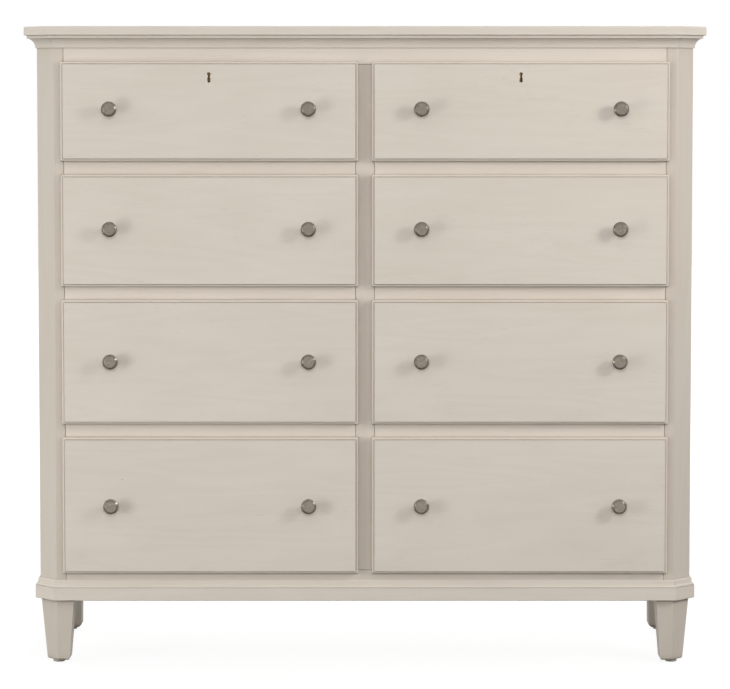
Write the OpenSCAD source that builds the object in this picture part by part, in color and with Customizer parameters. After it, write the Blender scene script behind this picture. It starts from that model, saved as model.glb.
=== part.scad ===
// Chest of drawers: two columns of four graduated drawers in a framed case with canted front corners,
// a mitred cove cornice under the top board, a mitred base moulding and tapered feet.
// X runs across the front, +Y runs from the front to the back and Z is up from the floor.
// The origin is on the floor under the middle of the whole piece.

/* [Case] */
// Width of the case across its sides
case_w = 1370; // [1100:5:1700]
// Depth of the case, from the front frame to the back
case_d = 444; // [380:1:560]
// Height of the case, from the foot of the base moulding to the underside of the top board
case_h = 1182; // [980:2:1420]
// Thickness of the top board
top_t = 18; // [15:0.5:30]
// How far the top board stands out past the case at the front and sides
top_overhang = 26; // [22:1:40]
// Radius on the upper edge of the top board
top_edge_r = 3.4; // [1:0.2:6]
// Radius on the lower edge of the top board
top_lower_r = 1; // [0.4:0.1:3]

/* [Frame] */
// Width of a front post, seen from the front
post_w = 58.2; // [50:0.2:75]
// Depth of a front post, front to back
post_d = 58.2; // [45:0.2:75]
// Width of the flat cut across the outer corner of a front post, measured along each side
post_cant = 37; // [20:1:44]
// Radius on the two arrises of that cut
post_arris_r = 5.5; // [1:0.5:10]
// Width and depth of a rear post
rear_post_w = 50; // [45:1:58]
// Thickness of the rails and of the upright between the two columns
frame_t = 22; // [18:1:28]
// Width of the upright between the two columns
muntin_w = 38.4; // [32:0.2:60]
// Thickness of the side panels
side_t = 19; // [16:1:22]
// Thickness of the partition between the two columns
partition_t = 19; // [12:1:22]
// Thickness of the back panel
back_t = 8; // [5:1:10]
// Thickness of the two rails across the back
rear_rail_t = 20; // [16:1:26]
// Height of the two rails across the back
rear_rail_h = 58; // [45:1:70]
// Width of the rebate that holds the back panel in each rear post
back_rebate = 12; // [8:1:16]
// Height of the case front below the lowest drawer front
base_reveal = 58.6; // [50:0.2:90]
// Height of the case front above the highest drawer front
top_reveal = 55; // [46:1:80]
// Fine chamfer that marks each joint in the frame
joint_v = 1.5; // [0.3:0.1:2]

/* [Mouldings] */
// Height of the cornice
cornice_h = 26; // [25.5:0.5:40]
// How far the cornice stands out from the case
cornice_out = 20; // [17.5:0.5:21.5]
// Height of the square fillet at the head of the cornice
cornice_fillet_h = 6.2; // [4:0.2:7]
// Radius of the cornice's cove
cornice_cove_r = 18.5; // [16:0.5:19.5]
// Thickness of the cornice at its foot
cornice_foot = 3.3; // [2:0.1:4.5]
// Height of the base moulding
base_h = 43.5; // [40:0.5:60]
// How far the base moulding stands out from the case
base_out = 10; // [9:0.5:14]
// Height of the flat band of the base moulding
base_band_h = 27; // [22:0.5:31]
// Radius of the quarter round above the band
base_round_r = 4.6; // [3:0.1:5.6]
// Step between the quarter round and the face of the band
base_step = 1.2; // [0.3:0.1:1.5]
// Width of the quirk between the band and the quarter round
base_quirk_w = 1; // [0.4:0.1:1.5]
// Depth of that quirk
base_quirk_d = 1.6; // [0.4:0.1:2]
// Radius on the upper edge of the base moulding
base_top_r = 3; // [1:0.1:3.2]
// Radius on the lower edge of the band
base_edge_r = 2; // [0.5:0.1:4]

/* [Feet] */
// Height of the wooden feet
foot_h = 130; // [90:1:170]
// Width of a front foot at its head
front_foot_w = 71.2; // [56:0.2:74]
// Distance from the outer faces of a front foot, at its head, to the line that it tapers about
front_foot_out = 38.4; // [34:0.2:44]
// How far outwards from that line the glide of a front foot sits
front_glide_out = 2; // [0:0.5:5]
// Width of a rear foot at its head
rear_foot_w = 50; // [42:1:58]
// Set-back of the feet from the faces of the case
foot_inset = 2; // [0:0.5:6]
// Width of a front foot at the floor, as a part of its width at the head
foot_taper = 0.69; // [0.6:0.01:1]
// Width of a rear foot at the floor, as a part of its width at the head
rear_foot_taper = 0.94; // [0.75:0.01:1]
// Bevel round the floor end of a front foot
front_foot_bevel = 3; // [1:0.2:5]
// Bevel round the floor end of a rear foot
rear_foot_bevel = 6; // [1:0.2:8]
// Diameter of the round tenon on the head of a foot
foot_tenon_d = 22; // [16:1:24]
// Length of the round tenon on the head of a foot
foot_tenon_h = 28; // [16:1:40]
// Diameter of a glide
glide_d = 25; // [18:1:28]
// Thickness of a glide below the wood
glide_h = 6; // [3:0.5:10]
// Diameter of a glide's nail
glide_pin_d = 6; // [4:0.5:8]

/* [Drawer fronts] */
// Difference in height between one drawer front and the next
graduation = 26.8; // [0:0.2:36]
// Gap between one drawer front and the next one down
front_gap = 28.2; // [20:0.2:40]
// How far a drawer front laps over the frame on every side
overlay = 5; // [3:0.5:8]
// Thickness of a drawer front
front_t = 19; // [16:0.5:25]
// Gap between a closed drawer front and the frame
closing_gap = 0.4; // [0.3:0.1:2]
// Width of the bead mitred round a drawer front
bead_w = 4.4; // [3:0.2:8]
// How far the bead lies behind the field that it frames
bead_back = 4.5; // [0:0.5:8]
// Width of the quirk between the bead and the field
quirk_w = 0.8; // [0.6:0.1:2]
// Depth of the quirk, below the bead
quirk_d = 0.4; // [0.2:0.1:2.5]
// Radius on the outer corner of the bead
bead_r = 2.6; // [0.5:0.1:3]

/* [Drawer boxes] */
// Thickness of the drawer sides and back
box_side_t = 12.7; // [10:0.1:16]
// Thickness of the board behind a drawer front
box_front_t = 16; // [15:0.5:20]
// Length of a drawer box, front to back
box_l = 400; // [300:1:402]
// Gap between a drawer side and the frame beside it
side_gap = 1.6; // [1:0.1:4]
// Gap between a drawer side and its guide
guide_gap = 0.6; // [0.4:0.1:0.9]
// Height of the air gap between a drawer side and its runner
runner_gap = 0.3; // [0.3:0.1:1]
// Clearance over the drawer sides
side_top_gap = 9; // [5:1:20]
// Clearance over the board behind a drawer front
box_front_top_gap = 2.5; // [1.5:0.5:4]
// Thickness of a drawer bottom
bottom_t = 6; // [4:0.5:9]
// Height of the groove for the bottom above the lower edge of the sides
bottom_lift = 10; // [8:1:14]
// Depth of the groove for the bottom
bottom_groove = 5; // [3:0.5:7]
// How much lower the back of a drawer box is than its sides
box_back_drop = 6; // [0:1:15]
// Distance between the middles of two dovetails
dovetail_pitch = 38; // [30:1:60]
// Width of a dovetail at its narrow end
dovetail_w = 19; // [14:1:20]
// Slope of a dovetail, across for each unit along
dovetail_slope = 0.16; // [0.1:0.01:0.2]

/* [Web frames] */
// Thickness of the runners and of the rails behind them
web_t = 32; // [22:1:33]
// Width of the runners, inside the opening
runner_w = 42; // [30:1:60]
// Width of the rails at the back of the web frames
web_rail_w = 45; // [35:1:60]
// Thickness of the dust panels
dust_t = 6; // [4:0.5:8]
// Depth of the grooves and length of the tongues
tongue_l = 8; // [6:0.5:9]
// Height of a drawer guide
guide_h = 22; // [14:1:30]
// Length of the framing tenons
tenon_l = 10; // [8:0.5:11]
// Thickness of the framing tenons
tenon_t = 8; // [6:0.5:9]
// Width of the shoulder above and below a tenon
tenon_shoulder = 6; // [4:0.5:8]
// Legs of the triangular glue blocks under the case
block_l = 26; // [20:1:27]

/* [Knobs and locks] */
// Diameter of a knob
knob_d = 31.6; // [26:0.2:38]
// Diameter of the flat face of a knob
knob_face_d = 23; // [16:0.5:24]
// Thickness of a knob's head
knob_head = 7; // [5.5:0.5:9]
// Thickness of a knob's foot
knob_foot = 2.2; // [1.5:0.1:3]
// Bevel behind the rim of a knob
knob_bevel = 1.6; // [0.8:0.1:2.2]
// Height of the step round the flat face of a knob
knob_step = 1.1; // [0.4:0.1:1.6]
// Depth of the bore that takes a knob's screw
knob_bore_l = 14; // [10:0.5:18]
// How far a knob stands out from the drawer front
knob_l = 28; // [24:1:36]
// Diameter of a knob's neck
knob_neck_d = 13; // [11:0.5:15]
// Diameter of a knob's foot
knob_foot_d = 18; // [17:0.5:22]
// Distance from the end of a drawer front to the middle of a knob
knob_inset = 103; // [60:1:150]
// Height of the top row's knobs above the middle of their drawer fronts
knob_rise = 5; // [0:1:20]
// How much nearer to the middle of its drawer front each lower row of knobs sits
knob_settle = 1.1; // [0:0.1:4]
// Diameter of the knob screws
screw_d = 4; // [3:0.5:5]
// Diameter of the head of a knob screw, against the inside of the box
screw_head_d = 8.6; // [8:0.2:10]
// Thickness of the head of a knob screw
screw_head_t = 2.6; // [1.5:0.1:3.5]
// How far a screw reaches into its knob
screw_reach = 12; // [8:0.5:13]
// Distance from the top of a drawer front to the round eye of the keyhole
keyhole_drop = 25.6; // [24:0.2:28]
// Diameter of the round eye of a keyhole
keyhole_eye_d = 7.3; // [6.6:0.1:8]
// Width of the keyhole between the eye and the slot
keyhole_waist_w = 4; // [3:0.1:5]
// Width of the slot of a keyhole
keyhole_slot_w = 6.4; // [5.8:0.1:7]
// Distance from the middle of the eye to the end of the slot
keyhole_l = 17.6; // [16:0.2:20]
// Distance from the middle of the eye to the start of the slot
keyhole_neck_l = 7.6; // [6:0.2:8]
// Width of a lock
lock_w = 50; // [40:1:60]
// Height of a lock
lock_h = 38; // [36:1:46]
// Width of a lock's bolt
bolt_w = 20; // [14:1:26]
// Travel of a lock's bolt
bolt_throw = 10; // [8:0.5:10]

/* [Hidden] */
rows = 4;
hands = ["left", "right"];
case_nodes = [
    "top_panel", "cornice_moulding", "front_post_left", "front_post_right", "rear_posts",
    "side_panel_left", "side_panel_right", "top_rail", "bottom_rail", "centre_muntin",
    "drawer_rails", "centre_partition", "drawer_runners", "top_kickers", "web_back_rails",
    "dust_panels", "drawer_guides", "base_moulding", "front_feet", "rear_feet",
    "foot_glides", "back_panel", "rear_rails", "corner_blocks"
];
drawer_pieces = ["front", "box", "bottom", "knobs"];
drawer_nodes = [
    for (row = [1:rows]) for (hand = hands) for (piece = drawer_pieces) drawer_node(row, hand, piece)
];
lock_nodes = [for (piece = ["lock", "lock_bolt"]) for (hand = hands) str(piece, "_", hand)];

// Curves
$fn = 48;

// Colours of the finishes
painted = [0.84, 0.80, 0.75];
inner_wood = [0.80, 0.70, 0.55];
sheet_wood = [0.74, 0.64, 0.50];
nickel = [0.56, 0.53, 0.49];
brass = [0.70, 0.60, 0.38];
nylon = [0.66, 0.64, 0.60];

// Width of a glue line between two pieces that are fixed to each other
glue = 0.1;
// Play of a tongue or a tenon in its groove
play = 0.15;
// Gap left round the edges of the back panel
back_panel_gap = 1;

half_w = case_w / 2;
case_z = glide_h + foot_h;
top_z = case_z + case_h;
// A knob is what reaches furthest forward, and the case back furthest back
reach = closing_gap + front_t + knob_l;
front_y = (reach - case_d) / 2;
back_y = front_y + case_d;
rail_back_y = front_y + frame_t;

// Openings of a column, as distances from the middle of the chest
open_x0 = muntin_w / 2;
open_x1 = half_w - post_w;
side_x = half_w - side_t;
rear_post_x = half_w - rear_post_w;
rear_post_y = back_y - rear_post_w;
rear_rail_y = back_y - back_t - glue - rear_rail_t;
web_y1 = rear_rail_y - glue;
web_y0 = web_y1 - web_rail_w;

mean_front_h = (case_h - base_reveal - top_reveal - (rows - 1) * front_gap) / rows;

// Drawer boxes
box_x0 = open_x0 + side_gap;
box_x1 = open_x1 - side_gap;
box_y0 = front_y - closing_gap + glue;
box_y1 = box_y0 + box_l;
column_x = (open_x0 + open_x1) / 2;

// Framing joints
tenon_y = (frame_t - tenon_t) / 2;
groove_h = dust_t + 2 * play;

// Locks
eye_z = front_z(1) + front_h(1) - keyhole_drop;
lock_depth = 10;
lock_y0 = box_y0 + box_front_t - lock_depth;
lock_plate_t = 1.6;
lock_plate_lap = 6;
lock_top = open_top(1) - box_front_top_gap;
key_depth = 4.4;
bolt_t = 3.4;
bolt_y = lock_y0 + key_depth + 1;
bolt_l = 24;
drill_pin_d = 2.4;
// How far the drill pin stays behind the face of the drawer front
drill_pin_back = 5;
bolt_play = 0.3;

function drawer_node(row, hand, piece) = str("drawer_", row, "_", hand, "_", piece);

// Rows are counted from the top
function front_h(row) = mean_front_h + (row - (rows + 1) / 2) * graduation;
function front_z(row) =
    row == rows ? case_z + base_reveal : front_z(row + 1) + front_h(row + 1) + front_gap;
function open_z(row) = front_z(row) + overlay;
function open_h(row) = front_h(row) - 2 * overlay;
function open_top(row) = open_z(row) + open_h(row);
function sign_of(hand) = hand == "left" ? -1 : 1;

// Underside of each level of the web frames: 1 to rows carry a drawer and 0 is over the top drawers
function web_z(level) = level == 0 ? open_top(1) : open_z(level) - web_t;

// Outline of the case front and sides in plan, moved outwards by off, from the left back corner round
function case_outline(off) =
    let (k = tan(22.5) * off, x = half_w + off, y = front_y - off)
    [
        [-x, back_y],
        [-x, front_y + post_cant - k],
        [-(half_w - post_cant + k), y],
        [half_w - post_cant + k, y],
        [x, front_y + post_cant - k],
        [x, back_y]
    ];
outline_sides = 5;

function side_start(i) = case_outline(0)[i];
function side_run(i) = case_outline(0)[i + 1] - case_outline(0)[i];
function side_length(i) = norm(side_run(i));
function side_way(i) = side_run(i) / side_length(i);

// A board between two opposite corners
module board(low, high) {
    translate(low)
        cube(high - low);
}

// The same piece on the right or, mirrored, on the left
module on_hand(hand) {
    if (hand == "left")
        mirror([1, 0, 0])
            children();
    else
        children();
}

module on_both_hands() {
    for (hand = hands)
        on_hand(hand)
            children();
}

// A flat outline drawn as across and up, made into a bar that runs along X
module bar(length) {
    rotate([90, 0, 90])
        linear_extrude(length)
            children();
}

// Places its children on side i of the case outline: X runs along it and +Y points inwards
module along_side(i) {
    start = side_start(i);
    run = side_run(i);
    translate([start.x, start.y, 0])
        rotate([0, 0, atan2(run.y, run.x)])
            children();
}

// A length of moulding along side i of the case between two offsets, cut to its mitres. Its section is drawn as
// outwards and up, and gap is left open at each mitre
module mitred_length(i, inner_off, outer_off, height, gap) {
    first_cut = i == 0 ? 0 : gap / 2;
    last_cut = i == outline_sides - 1 ? 0 : gap / 2;
    way = side_way(i);
    inner = case_outline(inner_off);
    outer = case_outline(outer_off);
    intersection() {
        along_side(i)
            translate([-outer_off, 0, 0])
                mirror([0, 1, 0])
                    bar(side_length(i) + 2 * outer_off)
                        children();
        translate([0, 0, -1])
            linear_extrude(height + 2)
                polygon([
                    inner[i] + first_cut * way,
                    inner[i + 1] - last_cut * way,
                    outer[i + 1] - last_cut * way,
                    outer[i] + first_cut * way
                ]);
    }
}

// Takes a quarter round off the corner at [x, y], towards the lower left
module ease_corner(x, y, r) {
    difference() {
        translate([x - r, y - r])
            square(2 * r);
        translate([x - r, y - r])
            circle(r);
    }
}

// Rounds the arris at [x, y] in the plan of a canted post: turn is 0 where the cant leaves the front and 45
// where it meets the side
module ease_arris(x, y, turn, r) {
    far = 2 * r;
    run = r * tan(22.5);
    translate([x, y])
        rotate(turn)
            translate([-run, r])
                difference() {
                    polygon([[0, 0], [0, -far], [2 * run, -far], [far * sin(45), -far * cos(45)]]);
                    circle(r);
                }
}

// How far out and how high the top board's edge is at each step up its rounded section
edge_steps = 6;
function quarter_turns() = [for (step = [0:edge_steps]) 90 * step / edge_steps];
function top_edge_levels() = concat(
    [for (a = quarter_turns()) [top_overhang - top_lower_r * (1 - sin(a)), top_lower_r * (1 - cos(a))]],
    [for (a = quarter_turns()) [top_overhang - top_edge_r * (1 - cos(a)), top_t - top_edge_r * (1 - sin(a))]]
);

module top_panel() {
    levels = top_edge_levels();
    n = outline_sides + 1;
    last = n * (len(levels) - 1);
    color(painted)
        translate([0, 0, top_z])
            polyhedron(
                points = [for (level = levels) for (p = case_outline(level[0])) [p.x, p.y, level[1]]],
                faces = concat(
                    [[for (i = [0:n - 1]) i]],
                    [
                        for (ring = [0:n:last - n]) for (i = [0:n - 1])
                            let (next = (i + 1) % n)
                            [ring + i, ring + n + i, ring + n + next, ring + next]
                    ],
                    [[for (i = [n - 1:-1:0]) last + i]]
                )
            );
}

// The cornice in section: a square fillet over a cove that dies into a thin foot
module cornice_section() {
    cove_top = cornice_h - cornice_fillet_h;
    centre_x = cornice_foot + cornice_cove_r;
    // The cove starts at the fillet's lower edge and ends upright over a narrow lip
    lip = cove_top - sqrt(pow(cornice_cove_r, 2) - pow(centre_x - cornice_out, 2));
    translate([0, cove_top])
        square([cornice_out, cornice_fillet_h]);
    difference() {
        square([cornice_out, cove_top]);
        translate([centre_x, lip])
            circle(cornice_cove_r);
        translate([cornice_foot, -1])
            square([cornice_cove_r, lip + 1]);
    }
}

module cornice_moulding() {
    color(painted)
        for (i = [0:outline_sides - 1])
            translate([0, 0, top_z - glue - cornice_h])
                mitred_length(i, glue, cornice_out + 1, cornice_h, glue)
                    cornice_section();
}

// The base moulding in section: a flat band, a quirk, a quarter round and a narrow band with a rounded top
module base_section() {
    shoulder = base_out - base_step;
    neck = shoulder - base_round_r;
    difference() {
        square([base_out, base_band_h]);
        mirror([0, 1])
            ease_corner(base_out, 0, base_edge_r);
    }
    round_z = base_band_h + base_quirk_w;
    square([shoulder - base_quirk_d, round_z + 1]);
    difference() {
        translate([0, round_z])
            square([shoulder, base_round_r]);
        ease_corner(shoulder, round_z + base_round_r, base_round_r);
    }
    difference() {
        square([neck, base_h]);
        ease_corner(neck, base_h, base_top_r);
    }
}

module base_moulding() {
    color(painted)
        for (i = [0:outline_sides - 1])
            translate([0, 0, case_z])
                mitred_length(i, glue, base_out + 1, base_h, glue)
                    base_section();
}

// The tenon of a frame member, in the place it has on a member that starts at the origin. grow is its mortise's play
module tenon(wide, grow = 0) {
    board(
        [-tenon_l - grow, tenon_y - grow, tenon_shoulder - grow],
        [1, tenon_y + tenon_t + grow, wide - tenon_shoulder + grow]
    );
}

// The groove for the web frame along the back of a rail, seen as a bar from x0 to x1 at height z
module web_groove(x0, x1, z) {
    board([x0, frame_t - tongue_l - play, z - groove_h / 2], [x1, frame_t + 1, z + groove_h / 2]);
}

// A frame member along X with its face at Y zero, a tenon on each end and a fine chamfer on its shoulders
module frame_member(length, wide) {
    linear_extrude(wide)
        polygon([
            [glue, joint_v],
            [glue + joint_v, 0],
            [length - glue - joint_v, 0],
            [length - glue, joint_v],
            [length - glue, frame_t],
            [glue, frame_t]
        ]);
    tenon(wide);
    translate([length, 0, 0])
        mirror([1, 0, 0])
            tenon(wide);
}

// Places a mortise at the left end of a member that starts at x and runs to the right
module mortise_at(x, z, wide) {
    translate([x, front_y, z])
        tenon(wide, play);
}

// The mortises that the ends of the drawer rails need, at the right-hand end of each rail
module drawer_rail_mortises(x) {
    for (row = [1:rows - 1])
        mirrored_mortise(x, open_top(row + 1), open_z(row) - open_top(row + 1));
}

module mirrored_mortise(x, z, wide) {
    translate([x, 0, 0])
        mirror([1, 0, 0])
            mortise_at(0, z, wide);
}

module top_rail() {
    wide = top_z - glue - open_top(1);
    color(painted)
        difference() {
            translate([-open_x1, front_y, open_top(1)])
                frame_member(2 * open_x1, wide);
            translate([0, front_y, 0])
                web_groove(-open_x1 - 1, open_x1 + 1, web_z(0) + web_t / 2);
            // The upright's tenon
            muntin_mortise(open_top(1));
            // A pocket over each lock for its bolt
            on_both_hands()
                board(
                    [column_x - bolt_w / 2 - 1, bolt_y - 1, open_top(1) - 1],
                    [column_x + bolt_w / 2 + 1, bolt_y + bolt_t + 1, open_top(1) + bolt_throw]
                );
        }
}

module bottom_rail() {
    wide = open_z(rows) - case_z;
    color(painted)
        difference() {
            translate([-open_x1, front_y, case_z])
                frame_member(2 * open_x1, wide);
            translate([0, front_y, 0])
                web_groove(-open_x1 - 1, open_x1 + 1, web_z(rows) + web_t / 2);
            muntin_mortise(open_z(rows));
        }
}

// Mortise for the upright at height z, cut both up and down from there
module muntin_mortise(z) {
    board(
        [-open_x0 + tenon_shoulder - play, front_y + tenon_y - play, z - tenon_l - play],
        [open_x0 - tenon_shoulder + play, front_y + tenon_y + tenon_t + play, z + tenon_l + play]
    );
}

module centre_muntin() {
    color(painted)
        difference() {
            translate([open_x0, front_y, open_z(rows)])
                rotate([0, -90, 0])
                    frame_member(open_top(1) - open_z(rows), muntin_w);
            on_both_hands()
                for (row = [1:rows - 1])
                    mortise_at(open_x0, open_top(row + 1), open_z(row) - open_top(row + 1));
            // Groove for the partition
            board(
                [-groove_h / 2, rail_back_y - tongue_l + 2, open_z(rows) - tenon_l - 1],
                [groove_h / 2, rail_back_y + 1, open_top(1) + tenon_l + 1]
            );
        }
}

module drawer_rails() {
    color(painted)
        on_both_hands()
            for (row = [1:rows - 1])
                difference() {
                    translate([open_x0, front_y, open_top(row + 1)])
                        frame_member(open_x1 - open_x0, open_z(row) - open_top(row + 1));
                    translate([0, front_y, 0])
                        web_groove(0, open_x1 + 1, web_z(row) + web_t / 2);
                }
}

// Groove in a post for the tongue of the side panel, between two depths
module panel_groove(y0, y1) {
    mid = half_w - side_t / 2;
    board([mid - groove_h / 2, y0, case_z - 1], [mid + groove_h / 2, y1, top_z + 1]);
}

module front_post(hand) {
    color(painted)
        on_hand(hand)
            difference() {
                translate([0, 0, case_z])
                    linear_extrude(case_h - glue)
                        difference() {
                            polygon([
                                [open_x1, front_y],
                                [half_w - post_cant, front_y],
                                [half_w, front_y + post_cant],
                                [half_w, front_y + post_d],
                                [open_x1, front_y + post_d]
                            ]);
                            ease_arris(half_w - post_cant, front_y, 0, post_arris_r);
                            ease_arris(half_w, front_y + post_cant, 45, post_arris_r);
                        }
                panel_groove(front_y + post_d - tongue_l - play, front_y + post_d + 1);
                drawer_rail_mortises(open_x1);
                mirrored_mortise(open_x1, case_z, open_z(rows) - case_z);
                mirrored_mortise(open_x1, open_top(1), top_z - glue - open_top(1));
                foot_socket(front_foot_x, front_foot_y);
            }
}

module rear_posts() {
    color(painted)
        on_both_hands()
            difference() {
                board([rear_post_x, rear_post_y, case_z], [half_w, back_y, top_z - glue]);
                panel_groove(rear_post_y - 1, rear_post_y + tongue_l + play);
                board(
                    [rear_post_x - 1, back_y - back_t - glue, case_z - 1],
                    [rear_post_x + back_rebate, back_y + 1, top_z + 1]
                );
                for (z = rear_rail_zs)
                    rear_tenon(z, play);
                foot_socket(rear_foot_x, rear_foot_y);
            }
}

rear_rail_zs = [case_z, top_z - glue - rear_rail_h];

// The tenon of a back rail in a rear post
module rear_tenon(z, grow) {
    board(
        [rear_post_x - 1, rear_rail_y + rear_rail_t / 2 - tenon_t / 2 - grow, z + tenon_shoulder - grow],
        [
            rear_post_x + tenon_l + grow,
            rear_rail_y + rear_rail_t / 2 + tenon_t / 2 + grow,
            z + rear_rail_h - tenon_shoulder + grow
        ]
    );
}

module rear_rails() {
    color(inner_wood)
        for (z = rear_rail_zs) {
            board(
                [-rear_post_x + glue, rear_rail_y, z],
                [rear_post_x - glue, rear_rail_y + rear_rail_t, z + rear_rail_h]
            );
            on_both_hands()
                rear_tenon(z, 0);
        }
}

// A side panel in plan, with a tongue on each edge and a fine chamfer on its outer edges
module side_panel(hand) {
    y0 = front_y + post_d + glue;
    y1 = rear_post_y - glue;
    x0 = side_x + (side_t - dust_t) / 2;
    x1 = x0 + dust_t;
    color(painted)
        on_hand(hand)
            translate([0, 0, case_z])
                linear_extrude(case_h - glue)
                    polygon([
                        [side_x, y0],
                        [x0, y0],
                        [x0, y0 - tongue_l],
                        [x1, y0 - tongue_l],
                        [x1, y0],
                        [half_w - joint_v, y0],
                        [half_w, y0 + joint_v],
                        [half_w, y1 - joint_v],
                        [half_w - joint_v, y1],
                        [x1, y1],
                        [x1, y1 + tongue_l],
                        [x0, y1 + tongue_l],
                        [x0, y1],
                        [side_x, y1]
                    ]);
}

module back_panel() {
    lap = back_rebate - back_panel_gap;
    color(sheet_wood)
        board(
            [-rear_post_x - lap, back_y - back_t, case_z + back_panel_gap],
            [rear_post_x + lap, back_y, top_z - glue]
        );
}

// The partition seen from the side: a tongue at the front, and a notch at the back for each rear rail
module centre_partition() {
    y0 = rail_back_y + glue;
    y1 = back_y - back_t - glue;
    notch_y = rear_rail_y - glue;
    z0 = web_z(rows);
    z1 = top_z - glue;
    low_z = rear_rail_zs[0] + rear_rail_h + glue;
    high_z = rear_rail_zs[1] - glue;
    color(inner_wood) {
        translate([-partition_t / 2, 0, 0])
            bar(partition_t)
                polygon([
                    [y0, z0],
                    [notch_y, z0],
                    [notch_y, low_z],
                    [y1, low_z],
                    [y1, high_z],
                    [notch_y, high_z],
                    [notch_y, z1],
                    [y0, z1]
                ]);
        board(
            [-dust_t / 2, y0 - tongue_l + 3, open_z(rows) + tenon_l],
            [dust_t / 2, y0 + 1, open_top(1) - tenon_l]
        );
    }
}

// The tongue of a web frame member between two points, at the middle of its thickness
module web_tongue(level, low, high) {
    z = web_z(level) + web_t / 2;
    board([low.x, low.y, z - dust_t / 2], [high.x, high.y, z + dust_t / 2]);
}

// The two runners of one drawer on the right hand, each tongued into the rails and grooved for the dust panel
module runner_pair(level) {
    y0 = rail_back_y + glue;
    y1 = web_y0 - glue;
    post_y = front_y + post_d + glue;
    mid = web_z(level) + web_t / 2;
    inner = [partition_t / 2 + glue, open_x0 + runner_w];
    outer = [open_x1 - runner_w, side_x - glue];
    difference() {
        union() {
            translate([0, 0, web_z(level)])
                linear_extrude(web_t) {
                    translate([inner[0], y0])
                        square([inner[1] - inner[0], y1 - y0]);
                    polygon([
                        [outer[0], y0],
                        [open_x1 - glue, y0],
                        [open_x1 - glue, post_y],
                        [outer[1], post_y],
                        [outer[1], y1],
                        [outer[0], y1]
                    ]);
                }
            web_tongue(level, [open_x0 + 1, y0 - tongue_l], [inner[1], y0 + 1]);
            web_tongue(level, [inner[0] + 1, y1 - 1], [inner[1], y1 + tongue_l]);
            web_tongue(level, [outer[0], y0 - tongue_l], [open_x1 - tenon_l, y0 + 1]);
            web_tongue(level, [outer[0], y1 - 1], [rear_post_x - 1, y1 + tongue_l]);
        }
        board(
            [inner[1] - tongue_l, y0 - tongue_l - 1, mid - groove_h / 2],
            [outer[0] + tongue_l, y1 + tongue_l + 1, mid + groove_h / 2]
        );
    }
}

module drawer_runners() {
    color(inner_wood)
        on_both_hands()
            for (level = [1:rows])
                runner_pair(level);
}

module top_kickers() {
    color(inner_wood)
        on_both_hands()
            runner_pair(0);
}

module web_back_rails() {
    color(inner_wood)
        on_both_hands()
            for (level = [0:rows])
                difference() {
                    board(
                        [partition_t / 2 + glue, web_y0, web_z(level)],
                        [rear_post_x - glue, web_y1, web_z(level) + web_t]
                    );
                    board(
                        [0, web_y0 - 1, web_z(level) + web_t / 2 - groove_h / 2],
                        [half_w, web_y0 + tongue_l + play, web_z(level) + web_t / 2 + groove_h / 2]
                    );
                }
}

module dust_panels() {
    inset = tongue_l - play;
    color(sheet_wood)
        on_both_hands()
            for (level = [1:rows])
                web_tongue(
                    level,
                    [open_x0 + runner_w - inset, rail_back_y - inset],
                    [open_x1 - runner_w + inset, web_y0 + inset]
                );
}

module drawer_guides() {
    color(inner_wood)
        on_both_hands()
            for (row = [1:rows]) {
                z0 = open_z(row) + glue;
                board(
                    [partition_t / 2 + glue, rail_back_y + glue, z0],
                    [box_x0 - guide_gap, web_y1, z0 + guide_h]
                );
                board(
                    [box_x1 + guide_gap, front_y + post_d + glue, z0],
                    [side_x - glue, rear_post_y - glue, z0 + guide_h]
                );
            }
}

// A glue block in the corner at [x, y], whose legs run back towards the middle and along the given way
module glue_block(x, y, way) {
    translate([0, 0, case_z + 2])
        linear_extrude(web_z(rows) - glue - case_z - 2)
            polygon([[x, y], [x - block_l, y], [x, y + way * block_l]]);
}

module corner_blocks() {
    color(inner_wood)
        on_both_hands() {
            glue_block(open_x1 - glue, rail_back_y + glue, 1);
            glue_block(rear_post_x - glue, rear_rail_y - glue, -1);
        }
}

// Feet: each tapers evenly about an upright line, where its tenon stands
front_foot_x = half_w - foot_inset - front_foot_out;
front_foot_y = front_y + foot_inset + front_foot_out;
rear_foot_x = half_w - foot_inset - rear_foot_w / 2;
rear_foot_y = back_y - foot_inset - rear_foot_w / 2;
front_glide_x = front_foot_x + front_glide_out;
front_glide_y = front_foot_y - front_glide_out;

// One pair of tapering faces, seen square on: low and high are their places at the head of the foot
module tapered_faces(low, high, taper, bevel) {
    wide = 2 * front_foot_w;
    translate([-wide / 2, 0, 0])
        bar(wide)
            polygon([
                [low * taper + bevel, 0],
                [high * taper - bevel, 0],
                [high * taper, bevel],
                [high, foot_h - glue],
                [low, foot_h - glue],
                [low * taper, bevel]
            ]);
}

// What every foot has: a round tenon on its head and a bore for the glide's nail, moved outwards and forwards by out
module foot_fittings(out = 0) {
    difference() {
        union() {
            children();
            translate([0, 0, foot_h - 1])
                cylinder(h = foot_tenon_h + 1, d = foot_tenon_d);
        }
        translate([out, -out, -1])
            cylinder(h = glide_pin_l + 2, d = glide_pin_d + 2 * play);
    }
}

glide_pin_l = 20;
// How much finer the bevel is on the canted face of a front foot, so that each bevel ends at a corner of its own
cant_bevel_less = 0.5;

module foot_socket(x, y) {
    translate([x, y, case_z - 1])
        cylinder(h = foot_tenon_h + 2, d = foot_tenon_d + 2 * play);
}

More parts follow.
